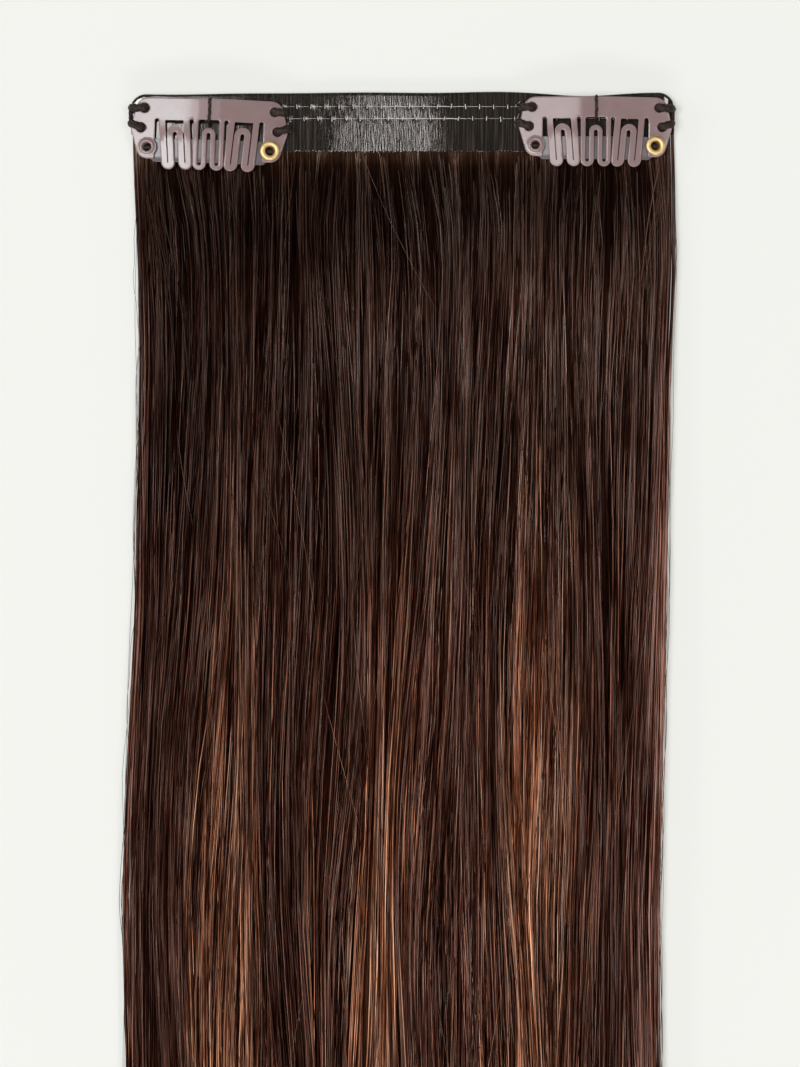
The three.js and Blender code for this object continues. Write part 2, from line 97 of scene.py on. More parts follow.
# A clip
CLIP_SPACING = 80.5
CLIP_DROP = 1
CLIP_PLACES = {"left": (-1, -0.5, -2.0, 1.025), "right": (1, 0.0, -0.5, 1.0)}
PLATE_HALF = 16
PLATE_SLANT = 1.4
PLATE_SHEET = 0.5
PLATE_CROWN = 1.5
PLATE_FLAT = 2.7
PLATE_FALL = 0.085
PLATE_LOW = 1.32
SHOULDER_DROP = 6.3
RIVET_OUT = 12.4
RIVET_DROP = 10.05
LOBE_RADIUS = 2.35
ARM_INNER = 10.98
SLOT = 0.75
WINDOW_DROP = 4.3
WINDOW_HEIGHT = 1.6
TOOTH_PITCH = 7.07
TOOTH_STRIP = 1.05
TOOTH_LEAN = 0.085
TOOTH_REACH = 14.5
SEW_HOLES = ((13.2, 2.15), (13.85, 6.15))
SEW_HOLE = 0.95
RIVET_HOLE = 1.3
BAR_LOW = 0.75
BAR_SHEET = 0.45

rng = np.random.default_rng(41)


# Small helpers for modelling


def deselect_all():
    for obj in bpy.context.selected_objects:
        obj.select_set(False)


def only(obj):
    """Makes one object the active and only selected one."""
    deselect_all()
    obj.select_set(True)
    bpy.context.view_layer.objects.active = obj
    return obj


def finish_modifiers(obj):
    only(obj)
    for added in list(obj.modifiers):
        bpy.ops.object.modifier_apply(modifier=added.name)
    return obj


def modifier(obj, kind, **settings):
    made = obj.modifiers.new(kind.lower(), kind)
    for key, value in settings.items():
        setattr(made, key, value)
    return made


def merge_doubles(obj, distance=1e-6):
    only(obj)
    bpy.ops.object.mode_set(mode="EDIT")
    bpy.ops.mesh.select_all(action="SELECT")
    bpy.ops.mesh.remove_doubles(threshold=distance)
    bpy.ops.mesh.normals_make_consistent(inside=False)
    bpy.ops.object.mode_set(mode="OBJECT")
    return obj


def points_of(obj):
    points = np.empty(len(obj.data.vertices) * 3)
    obj.data.vertices.foreach_get("co", points)
    return points.reshape(-1, 3)


def set_points(obj, points):
    obj.data.vertices.foreach_set("co", np.asarray(points, np.float32).ravel())
    obj.data.update()


def smooth(obj, degrees=35):
    only(obj)
    bpy.ops.object.shade_smooth_by_angle(angle=math.radians(degrees))
    return obj


def place(obj, offset, turn=0.0):
    """Moves a mesh that is in millimetres round its own origin to its place, in metres."""
    turned = Matrix.Rotation(math.radians(turn), 4, "Z")
    obj.data.transform(Matrix.Scale(MM, 4) @ Matrix.Translation(offset) @ turned)
    return obj


def keep(obj, material, slot, *nodes):
    """Gives a finished piece its material and ties it to the frame."""
    obj.data.materials.clear()
    obj.data.materials.append(material)
    if nodes:
        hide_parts(*nodes)
    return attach(obj, "root")


# Materials


def linear(code):
    """An sRGB hex colour as linear red, green, blue and alpha."""
    parts = [int(code[i : i + 2], 16) / 255 for i in (0, 2, 4)]
    return [c / 12.92 if c <= 0.04045 else ((c + 0.055) / 1.055) ** 2.4 for c in parts] + [1]


def node(tree, kind, settings=None, **inputs):
    """Adds a shader node. An input's value is a number, a colour or another node's output."""
    made = tree.nodes.new("ShaderNode" + kind)
    for key, value in (settings or {}).items():
        setattr(made, key, value)
    for key, value in inputs.items():
        socket = made.inputs[int(key[1:]) if key[1:].isdigit() else key.replace("_", " ")]
        if isinstance(value, bpy.types.NodeSocket):
            tree.links.new(value, socket)
        else:
            socket.default_value = value
    return made


def ramp(tree, factor, stops, smooth_steps=False):
    """A colour ramp from a table of places and colours."""
    made = node(tree, "ValToRGB", Fac=factor)
    made.color_ramp.interpolation = "EASE" if smooth_steps else "LINEAR"
    elements = made.color_ramp.elements
    while len(elements) < len(stops):
        elements.new(0.5)
    for element, (at, colour) in zip(elements, stops):
        element.position = at
    for element, (at, colour) in zip(elements, stops):
        element.color = linear(colour) if isinstance(colour, str) else (colour, colour, colour, 1)
    return made.outputs["Color"]


def math_node(tree, operation, a, b=0.5, c=0.5, clamp=False):
    return node(tree, "Math", {"operation": operation, "use_clamp": clamp}, _0=a, _1=b, _2=c).outputs[0]


def mix(tree, factor, a, b, blend="MIX"):
    settings = {"data_type": "RGBA", "blend_type": blend}
    return node(tree, "Mix", settings, _0=factor, _6=a, _7=b).outputs[2]


def new_material(name):
    material = bpy.data.materials.new(name)
    material.use_nodes = True
    tree = material.node_tree
    shader = tree.nodes["Principled BSDF"]
    return material, tree, shader


def set_shader(shader, **values):
    for key, value in values.items():
        shader.inputs[key.replace("_", " ")].default_value = value


# The hair's colour down its length, and that of the caramel strands in it. Below the dark dyed roots it
# warms, and part of it is painted light. In both tables the first hundredth of the length, just under
# the film's edge, is lightened against the film's shade. In the first table the lighter band round 0.08
# is a painted sheen.
HAIR_DYE_AND_PAINTED_LIGHT = (
    (0, "87786e"),
    (0.0042, "624e42"),
    (0.008, "3c2d25"),
    (0.0127, "2e2018"),
    (0.02, "22160f"),
    (0.03, "24160f"),
    (0.042, "301f18"),
    (0.08, "472b21"),
    (0.16, "371d13"),
    (0.24, "422318"),
    (0.6, "422115"),
    (1, "442316"),
)
CARAMEL = (
    (0, "87786e"), (0.008, "3c2d25"), (0.02, "24180f"), (0.045, "301f18"), (0.1, "42271c"),
    (0.2, "5f3b2a"), (0.3, "7f513b"), (0.42, "905f45"), (1, "956448"),
)
STRAND_CONTRAST = 12

# Where the hair is streaked, across the piece from left to right. The value is the share
# of the strands there that are caramel.
STREAKS = (
    (0.0, 0.0),
    (0.1, 0.0),
    (0.135, 0.16),
    (0.18, 0.8),
    (0.225, 0.55),
    (0.262, 0.04),
    (0.385, 0.0),
    (0.43, 0.62),
    (0.485, 1.05),
    (0.53, 0.6),
    (0.565, 0.04),
    (0.68, 0.08),
    (0.715, 0.6),
    (0.76, 0.84),
    (0.805, 0.5),
    (0.86, 0.02),
    (0.95, 0.0),
    (1.0, 0.1),
)
# Across the piece the hair is darkened, most on its left side: near the roots by DEEPER_TOP, and further
# down by DEEPER. The same factor also scales the gloss.
DEEPER_TOP = ((0.0, 0.42), (0.3, 0.43), (0.42, 0.68), (0.6, 0.8), (0.72, 1.0), (0.95, 0.96), (1.0, 0.85))
DEEPER = (
    (0.0, 0.66), (0.1, 0.64), (0.17, 0.88), (0.24, 0.84), (0.3, 0.67), (0.38, 0.75), (0.45, 0.95),
    (0.75, 1.04), (0.82, 0.94), (0.88, 0.78), (0.94, 0.82), (1.0, 1.0),
)
# How much gloss the hair has down its length
GLOSS = (
    (0.0, 1.0), (0.01, 0.55), (0.02, 0.6), (0.04, 0.75), (0.07, 1.0), (0.1, 1.0), (0.15, 0.63),
    (0.25, 0.56), (0.5, 0.56), (1.0, 0.42),
)


def hair_material(name, is_mass):
    """Human hair, straightened and dyed: dark brown roots that warm and lighten down the length, with
    caramel strands gathered in streaks. No two strands are alike in depth of colour or gloss, which
    gives the eye its fine light and dark lines. Part of that colour is painted light: glints down the
    strands, a lightening just under the film against its shade, a sheen a little lower, a warm glow
    through the thin sides, and painted shade in the darkest strands and in the mass under them."""
    material, tree, shader = new_material(name)
    if is_mass:
        place_on = node(tree, "TexCoord").outputs["Object"]
        split = node(tree, "SeparateXYZ", Vector=place_on)
        across = math_node(tree, "MULTIPLY_ADD", split.outputs[0], 1 / (HAIR_WIDTH * MM), 0.5)
        down = math_node(tree, "MULTIPLY_ADD", split.outputs[1], -1 / (HAIR_LENGTH * MM), 0.485)
    else:
        uv = node(tree, "UVMap", {"uv_map": "OFBake"}).outputs[0]
        split = node(tree, "SeparateXYZ", Vector=uv)
        across, down = split.outputs[0], split.outputs[1]

    def stretched(lines, cells, seed, detail=1.0):
        """Noise drawn out along the hair: so many lines across it, and cells down it."""
        at = node(
            tree,
            "CombineXYZ",
            X=math_node(tree, "MULTIPLY", across, lines),
            Y=math_node(tree, "MULTIPLY_ADD", down, cells, seed),
        ).outputs[0]
        return node(
            tree, "TexNoise", {"noise_dimensions": "2D"}, Vector=at, Scale=1, Detail=detail
        ).outputs["Fac"]

    strand = stretched(1900, 4.0, 1.7)
    glint = stretched(1700, 13.0, 5.1, 0.0)
    short = stretched(2100, 75.0, 9.4, 1.0)
    lock = stretched(85, 3.0, 3.3, 2.0)
    tone = stretched(1700, 0.0, 7.3, 0.0)
    hue = stretched(1100, 2.0, 12.9, 0.0)

    base = ramp(tree, down, HAIR_DYE_AND_PAINTED_LIGHT)
    base = mix(tree, math_node(tree, "MULTIPLY", tone, 0.4), base, linear("40201a"))
    caramel = ramp(tree, down, CARAMEL)
    begun = node(
        tree,
        "MapRange",
        {"interpolation_type": "SMOOTHSTEP"},
        Value=math_node(tree, "MULTIPLY_ADD", lock, 0.2, math_node(tree, "SUBTRACT", down, 0.1)),
        From_Min=0.07,
        From_Max=0.38,
        To_Min=0.08,
        To_Max=1.0,
    ).outputs[0]
    share = math_node(tree, "MULTIPLY", ramp(tree, across, STREAKS), begun)
    # A strand is caramel where the streak's share of such strands passes its own number.
    picked = math_node(tree, "ADD", share, math_node(tree, "MULTIPLY_ADD", tone, 2.6, -1.85))
    picked = math_node(tree, "MULTIPLY", picked, 4.0, clamp=True)
    colour = mix(tree, picked, base, caramel)
    # At its sides the fall is thin, and light comes through it warm. The colour there is lightened and
    # warmed, more so further down, as a painted glow.
    edge = ramp(
        tree,
        across,
        ((0, 1.0), (0.014, 0.5), (0.03, 0), (0.94, 0), (0.96, 0.3), (0.98, 0.7), (1, 0.85)),
    )
    lit = node(
        tree, "MapRange", Value=down, From_Min=0.0, From_Max=0.25, To_Min=0.2, To_Max=0.8
    ).outputs[0]
    colour = mix(tree, math_node(tree, "MULTIPLY", edge, lit), colour, linear("7a5145"))
    # A strand's brightness is partly its own tone and partly painted light. The glint and short noises
    # paint lighter dashes, glints, down the strands. The darkest strands stand for the shaded gaps
    # between them.
    level = math_node(tree, "MULTIPLY_ADD", strand, 0.5, math_node(tree, "MULTIPLY", glint, 0.36))
    level = math_node(tree, "MULTIPLY_ADD", short, 0.14, level)
    level = math_node(tree, "MULTIPLY_ADD", lock, 0.08, math_node(tree, "MULTIPLY", level, 0.92))
    bright = math_node(tree, "POWER", math_node(tree, "MULTIPLY", level, 2.0), STRAND_CONTRAST)
    # The brightest strands are held back, and so are all of them where they leave the film.
    bright = math_node(tree, "DIVIDE", bright, math_node(tree, "MULTIPLY_ADD", bright, 0.2, 1.0))
    apart = node(
        tree, "MapRange", Value=down, From_Min=0.0, From_Max=0.05, To_Min=0.35, To_Max=1.0
    ).outputs[0]
    bright = math_node(tree, "MULTIPLY_ADD", math_node(tree, "SUBTRACT", bright, 0.8), apart, 0.8)
    deeper_at = node(tree, "MapRange", Value=down, From_Min=0.01, From_Max=0.045).outputs[0]
    deeper = mix(tree, deeper_at, (1, 1, 1, 1), ramp(tree, across, DEEPER_TOP))
    deeper_at = node(tree, "MapRange", Value=down, From_Min=0.08, From_Max=0.24).outputs[0]
    deeper = mix(tree, deeper_at, deeper, ramp(tree, across, DEEPER))
    bright = math_node(tree, "MULTIPLY", bright, deeper)
    # The mass under the strands is painted darker, to 0.4 of the strands' brightness, as the shade under
    # them. The strands themselves are raised by 1.2.
    bright = math_node(tree, "MULTIPLY", bright, 0.4 if is_mass else 1.2)
    # The darker a strand is painted, the redder it is made. This is the painted colour of shade deep in
    # the hair, where light has passed through more of it.
    painted_depths = math_node(tree, "MINIMUM", bright, 1.0)
    green = math_node(
        tree,
        "MULTIPLY",
        math_node(tree, "POWER", bright, 1.18),
        math_node(tree, "POWER", painted_depths, 0.12),
    )
    blue = math_node(
        tree,
        "MULTIPLY",
        math_node(tree, "POWER", bright, 1.28),
        math_node(tree, "POWER", painted_depths, 0.28),
    )
    shade = node(tree, "CombineColor", _0=bright, _1=green, _2=blue).outputs[0]
    colour = mix(tree, 1.0, colour, shade, "MULTIPLY")
    colour = mix(
        tree,
        1.0,
        colour,
        ramp(tree, hue, ((0.36, "dedbdc"), (0.5, "eddccf"), (0.64, "f5d5bf"))),
        "MULTIPLY",
    )
    tree.links.new(colour, shader.inputs["Base Color"])
    rough = node(
        tree, "MapRange", Value=glint, From_Min=0.35, From_Max=0.65, To_Min=0.5, To_Max=0.2
    ).outputs[0]
    tree.links.new(rough, shader.inputs["Roughness"])
    if is_mass:
        lines = node(tree, "Bump", Strength=1.0, Distance=0.0002, Height=strand).outputs[0]
        tree.links.new(lines, shader.inputs["Normal"])
    # Some strands lie so that they catch the light, and most don't.
    catch = node(
        tree, "MapRange", Value=level, From_Min=0.495, From_Max=0.65, To_Min=0.03, To_Max=1.5
    ).outputs[0]
    catch = math_node(
        tree, "MULTIPLY", catch, math_node(tree, "MULTIPLY", ramp(tree, down, GLOSS), deeper)
    )
    tree.links.new(
        math_node(tree, "MULTIPLY", catch, 0.3 if is_mass else 1.0),
        shader.inputs["Specular IOR Level"],
    )
    set_shader(shader, IOR=1.55, Specular_Tint=(1, 0.92, 0.84, 1))
    return material


def film_material():
    """Polyurethane film, pressed hot over the roots: a clear skin with a soft gloss, ribbed
    by the hairs that show through it."""
    material, tree, shader = new_material("polyurethane_film_pressed")
    at = node(tree, "TexCoord").outputs["Object"]
    # A rib is a bunch of roots, about 0.35 mm wide.
    ribs_at = node(tree, "Mapping", {"vector_type": "POINT"}, Vector=at, Scale=(3200, 380, 1)).outputs[0]
    ribs = node(tree, "TexNoise", {"noise_dimensions": "2D"}, Vector=ribs_at, Scale=1, Detail=3)
    wide_at = node(tree, "Mapping", {"vector_type": "POINT"}, Vector=at, Scale=(420, 60, 1)).outputs[0]
    wide = node(tree, "TexNoise", {"noise_dimensions": "2D"}, Vector=wide_at, Scale=1, Detail=2)
    roots_at = node(tree, "Mapping", {"vector_type": "POINT"}, Vector=at, Scale=(2800, 70, 1)).outputs[0]
    roots = node(tree, "TexNoise", {"noise_dimensions": "2D"}, Vector=roots_at, Scale=1, Detail=2)
    shade = ramp(tree, roots.outputs["Fac"], ((0.33, "100e0c"), (0.5, "211c18"), (0.66, "463b34")))
    shade = mix(tree, math_node(tree, "MULTIPLY", wide.outputs["Fac"], 0.5), shade, linear("1f1a17"))
    tree.links.new(shade, shader.inputs["Base Color"])
    # The clips pull the film taut beside them, and in the middle its ribs stand up.
    across = math_node(tree, "MULTIPLY_ADD", node(tree, "SeparateXYZ", Vector=at).outputs[0], 20, 0.5)
    slack = ramp(
        tree,
        across,
        (
            (0.0, 0.08), (0.14, 0.12), (0.22, 0.24), (0.3, 0.46), (0.38, 1.0), (0.61, 1.0),
            (0.66, 0.6), (0.72, 0.3), (0.8, 0.2), (1.0, 0.16),
        ),
    )
    rough = node(
        tree,
        "MapRange",
        Value=ribs.outputs["Fac"],
        From_Min=0.3,
        From_Max=0.7,
        To_Min=0.17,
        To_Max=0.1,
    ).outputs[0]
    rough = math_node(tree, "MULTIPLY", rough, math_node(tree, "MULTIPLY_ADD", slack, 0.5, 0.5))
    tree.links.new(rough, shader.inputs["Roughness"])
    bump = node(tree, "Bump", Strength=slack, Distance=0.00004, Height=ribs.outputs["Fac"]).outputs[0]
    tree.links.new(bump, shader.inputs["Normal"])
    # The film mirrors at both its faces.
    set_shader(shader, IOR=2.05, Specular_Tint=(1, 0.93, 0.89, 1))
    return material


def paint_material(name, code, roughness):
    """Stove enamel, sprayed on stamped steel: an even glossy colour that mirrors the
    softbox, with a slight orange peel to break the mirror's edge."""
    material, tree, shader = new_material(name)
    at = node(tree, "TexCoord").outputs["Object"]
    # The peel's dimples are about 0.25 mm across.
    peel = node(tree, "TexNoise", Vector=at, Scale=4000, Detail=2)
    cloud = node(tree, "TexNoise", Vector=at, Scale=350, Detail=3)
    base = linear(code)
    deep = [c * 0.8 for c in base[:3]] + [1]
    tree.links.new(mix(tree, cloud.outputs["Fac"], base, deep), shader.inputs["Base Color"])
    bump = node(tree, "Bump", Strength=0.05, Distance=0.00005, Height=peel.outputs["Fac"]).outputs[0]
    tree.links.new(bump, shader.inputs["Normal"])
    set_shader(shader, Roughness=roughness, IOR=1.55)
    return material


def brass_material():
    """Brass, rolled and left bare: warm yellow, polished by the rivet tool, with a fine mottle of wear."""
    material, tree, shader = new_material("brass_rolled_bare")
    at = node(tree, "TexCoord").outputs["Object"]
    wear = node(tree, "TexNoise", Vector=at, Scale=1500, Detail=3)
    colour = ramp(tree, wear.outputs["Fac"], ((0.3, "e2bd7e"), (0.7, "f6dca6")))
    tree.links.new(colour, shader.inputs["Base Color"])
    set_shader(shader, Metallic=1.0, Roughness=0.55)
    return material


def thread_material(name, light, dark, millimetre_twist):
    """Spun polyester sewing thread: matt, with a fine mottle the size of the plies' twist."""
    material, tree, shader = new_material(name)
    at = node(tree, "TexCoord").outputs["Object"]
    plies = node(tree, "TexNoise", Vector=at, Scale=1 / (millimetre_twist * MM), Detail=2)
    colour = ramp(tree, plies.outputs["Fac"], ((0.35, dark), (0.65, light)))
    tree.links.new(colour, shader.inputs["Base Color"])
    set_shader(shader, Roughness=0.5, Specular_IOR_Level=0.3)
    return material


# The hair's strands and its core


def outline_at(along, column):
    return np.interp(along, HAIR_OUTLINE["along"], HAIR_OUTLINE[column])


def hair_heights(hair, band_foot, middle):
    """The height of the hair solid's top, on a grid of shares down its length and across."""
    tree = BVHTree.FromPolygons(
        [v.co for v in hair.data.vertices], [p.vertices for p in hair.data.polygons]
    )
    alongs = np.linspace(0, 1, 81)
    acrosses = np.linspace(-1, 1, 161)
    heights = np.zeros((len(alongs), len(acrosses)))
    for i, along in enumerate(alongs):
        half = outline_at(along, "width") * HAIR_WIDTH / 2
        centre = middle + outline_at(along, "sway") * SWAY_UNIT * HAIR_WIDTH
        for j, across in enumerate(acrosses):
            x = centre + across * half * 0.995
            y = band_foot - min(along, 0.955) * HAIR_LENGTH
            hit = tree.ray_cast(Vector((x * MM, y * MM, 0.05)), Vector((0, 0, -1)))
            heights[i, j] = hit[0].z / MM if hit[0] else 0.4
    kernel = np.array([1, 3, 5, 3, 1]) / 13
    smoothed = np.apply_along_axis(
        lambda row: np.convolve(np.pad(row, 2, "edge"), kernel, "valid"), 1, heights
    )
    return alongs, acrosses, smoothed


def sample_heights(table, along, across):
    alongs, acrosses, heights = table
    i = np.clip(along * (len(alongs) - 1), 0, len(alongs) - 1.001)
    j = np.clip((across + 1) / 2 * (len(acrosses) - 1), 0, len(acrosses) - 1.001)
    i0, j0 = i.astype(int), j.astype(int)
    fi, fj = i - i0, j - j0
    top = heights[i0, j0] * (1 - fj) + heights[i0, j0 + 1] * fj
    low = heights[i0 + 1, j0] * (1 - fj) + heights[i0 + 1, j0 + 1] * fj
    return top * (1 - fi) + low * fi


def waves(share, count, size, cycles, power=1.0):
    """Slow sideways wander for many strands, one row each, as a sum of three sines."""
    total = np.zeros((count, share.shape[-1]))
    for k in range(1, 4):
        phase = rng.uniform(0, 2 * math.pi, (count, 1))
        strength = rng.normal(0, 1, (count, 1)) / k**power
        total += strength * np.sin(2 * math.pi * cycles * k / 2 * share + phase)
    return total * size


def strand_mesh(name, centres, radii, colour_u, colour_v):
    """Joins strands into one mesh of three-sided tubes. centres is strands by steps by xyz,
    radii is strands by steps, and the colour places become the UV map."""
    strands, steps, _ = centres.shape
    sides = 3
    along = np.gradient(centres, axis=1)
    along /= np.linalg.norm(along, axis=2, keepdims=True)
    across = np.cross(along, np.array([0, 0, 1.0]))
    across /= np.linalg.norm(across, axis=2, keepdims=True) + 1e-12
    above = np.cross(across, along)
    start = rng.uniform(0, 2 * math.pi, (strands, 1, 1))
    rings = []
    for side in range(sides):
        angle = start + 2 * math.pi * side / sides
        out = across * np.cos(angle) + above * np.sin(angle)
        rings.append(centres + out * radii[..., None])
    points = np.stack(rings, axis=2).reshape(-1, 3) * MM

    ring_at = (np.arange(strands)[:, None] * steps + np.arange(steps - 1)[None, :]) * sides
    quads, quad_u, quad_v = [], [], []
    width = 0.0005
    for side in range(sides):
        following = (side + 1) % sides
        quads.append(
            np.stack(
                [
                    ring_at + side,
                    ring_at + sides + side,
                    ring_at + sides + following,
                    ring_at + following,
                ],
                -1,
            )
        )
        near = colour_u[:, None] + width * (side / sides - 0.5) + 0 * ring_at
        far = near + width / sides
        quad_u.append(np.stack([near, near, far, far], -1))
        quad_v.append(
            np.stack([colour_v[:, :-1], colour_v[:, 1:], colour_v[:, 1:], colour_v[:, :-1]], -1)
        )
    quads = np.stack(quads, 2).reshape(-1, 4)
    quad_u = np.stack(quad_u, 2).reshape(-1)
    quad_v = np.stack(quad_v, 2).reshape(-1)
    first = np.arange(strands) * steps * sides
    last = first + (steps - 1) * sides
    caps = np.concatenate(
        [np.stack([first, first + 1, first + 2], -1), np.stack([last, last + 2, last + 1], -1)]
    )
    cap_u = np.concatenate([colour_u, colour_u]).repeat(3)
    cap_v = np.concatenate([colour_v[:, 0], colour_v[:, -1]]).repeat(3)

    mesh = bpy.data.meshes.new(name)
    loops = np.concatenate([quads.ravel(), caps.ravel()]).astype(np.int32)
    mesh.vertices.add(len(points))
    mesh.vertices.foreach_set("co", points.astype(np.float32).ravel())
    mesh.loops.add(len(loops))
    mesh.loops.foreach_set("vertex_index", loops)
    mesh.polygons.add(len(quads) + len(caps))
    starts = np.concatenate([np.arange(len(quads)) * 4, len(quads) * 4 + np.arange(len(caps)) * 3])
    mesh.polygons.foreach_set("loop_start", starts.astype(np.int32))
    # The caps stay flat, so that they don't turn the shading of a strand's last length.
    mesh.polygons.foreach_set("use_smooth", np.arange(len(quads) + len(caps)) < len(quads))
    layer = mesh.uv_layers.new(name="OFBake")
    uv = np.stack([np.concatenate([quad_u, cap_u]), np.concatenate([quad_v, cap_v])], -1)
    layer.data.foreach_set("uv", np.clip(uv, 0.0005, 0.9995).astype(np.float32).ravel())
    mesh.update(calc_edges=True)
    mesh.validate()
    obj = bpy.data.objects.new(name, mesh)
    bpy.context.scene.collection.objects.link(obj)
    return obj


STRAND_STEPS = 31
LOCKS = 52
CLUMPS = 520


def strand_shares():
    """The places of a strand's points down its length, closer together near the root, and
    the last two a few millimetres apart."""
    return np.append(0.985 * np.linspace(0, 1, STRAND_STEPS - 1) ** 1.2, 1)[None, :]


def swing(at, down):
    """How the fall of hair as a whole leans one way and the other, in millimetres."""
    held = np.clip(down / 0.05, 0, 1) * (1 - at**4)
    lean = (
        1.5 * np.sin(2.2 * math.pi * at + 7 * down + 0.6)
        + 1.1 * np.sin(4.7 * math.pi * at - 13 * down + 2.0)
    )
    from_left_end = 1.3 * np.exp(-(((at + 0.84) / 0.1) ** 2)) * np.sin(
        math.pi * np.clip(down / 0.3, 0, 1)
    )
    return lean * held + from_left_end


def hair_locks():
    """The hair's gathering: wide locks that wander slowly, and narrow clumps in them that
    open, close, rise and cross. All widths are in millimetres."""
    share = strand_shares()
    lock_at = np.linspace(-1, 1, LOCKS) * (HAIR_WIDTH / 2 - 0.5) + rng.normal(0, 0.4, LOCKS)
    lock_drift = waves(share, LOCKS, 0.6, 2.4)
    lock_high = waves(share, LOCKS, 0.09, 2.4)
    lock = rng.integers(0, LOCKS, CLUMPS)
    crossing = (rng.random(CLUMPS) < 0.25)[:, None]
    drift = lock_drift[lock] + waves(share, CLUMPS, 0.25, 5.0)
    drift = drift + np.where(crossing, waves(share, CLUMPS, 0.75, 2.6), 0)
    return {
        "at": lock_at[lock] + rng.normal(0, 0.85, CLUMPS),
        "drift": drift,
        "pinch": np.clip(1 + waves(share, CLUMPS, 0.3, 3.4), 0.3, 1.9),
        "high": lock_high[lock] + waves(share, CLUMPS, 0.07, 3.5) + np.where(crossing, 0.08, 0),
        "reach": rng.uniform(0.955, 0.994, CLUMPS),
        "width": rng.uniform(0.18, 0.5, CLUMPS),
    }


def hair_strands(name, count, locks, table, band, low, high, under=False):
    """A layer of strands, at a depth of low to high under the solid's top, or on its
    underside."""
    band_foot, middle = band
    share = strand_shares()
    clump = rng.integers(0, CLUMPS, count)
    spread = rng.normal(0, 1, count)
    reach = np.clip(locks["reach"][clump] + rng.normal(0, 0.012, count), 0.9, 1.0)
    reach = np.where(rng.random(count) < 0.06, rng.uniform(0.45, 0.93, count), reach)
    down = share * reach[:, None]
    half = outline_at(down, "width") * HAIR_WIDTH / 2
    centre = middle + outline_at(down, "sway") * SWAY_UNIT * HAIR_WIDTH
    tip = np.clip((share - 0.9) / 0.1, 0, 1)
    held = np.clip(share / 0.035, 0, 1)
    aside = spread[:, None] * locks["width"][clump][:, None] * locks["pinch"][clump] * (1 + 1.3 * tip)
    aside = aside + (locks["drift"][clump] + waves(share, count, 0.12, 6.5)) * held
    outermost = np.abs(locks["at"][clump][:, None]) / (HAIR_WIDTH / 2)
    aside = aside * (1 - 0.6 * np.clip(outermost, 0, 1) ** 12)
    at = (locks["at"][clump][:, None] + aside) / (HAIR_WIDTH / 2)
    at = at + swing(np.clip(at, -1, 1), down) / (HAIR_WIDTH / 2)
    over = np.abs(at) > 1
    at = np.where(over, np.sign(at) * (1 - 0.6 * np.clip(np.abs(at) - 1, 0, 1)), at)
    x = centre + at * (half + 0.2)

    tops = sample_heights(table, np.clip(down, 0, 1), np.clip(at, -1, 1))
    depth = rng.uniform(low, high, count)[:, None]
    dome = 0.26 * (1 - np.clip(np.abs(spread) / 2, 0, 1) ** 2)[:, None] - 0.1
    z = tops - depth - 0.12 + (dome + locks["high"][clump] + waves(share, count, 0.07, 4.5)) * held
    if under:
        z = 0.16 + depth + 0.1 * np.abs(spread)[:, None] * held + 0 * share
    z = np.clip(z, STRAND_FLOOR, STRAND_CEILING)
    foot_rise = band_foot_edge(x[:, :1] - middle)
    y = band_foot - down * HAIR_LENGTH
    y[:, :1] += foot_rise

    x = np.concatenate([x[:, :1], x[:, :1], x], 1)
    y = np.concatenate([y[:, :1] + HAIR_TUCK, y[:, :1] + HAIR_TUCK * 0.4, y], 1)
    slot_z = rng.uniform(FILM + 0.1, FILM + FOLD_GAP - 0.1, (count, 1))
    z = np.concatenate([slot_z, slot_z, z], 1)
    centres = np.stack([x, y, z], -1)

    radius = np.where(
        rng.random((count, 1)) < 0.3,
        rng.uniform(0.085, 0.12, (count, 1)),
        rng.uniform(0.045, 0.08, (count, 1)),
    )
    taper = np.interp(np.linspace(0, 1, STRAND_STEPS + 2), (0, 0.968, 1), (1, 1, 0.35))
    colour_u = (at[:, 0] + 1) / 2 + rng.normal(0, 0.006, count)
    colour_v = np.concatenate([down[:, :1], down[:, :1], down], 1)
    return strand_mesh(name, centres, radius * taper[None, :], np.clip(colour_u, 0.002, 0.998), colour_v)


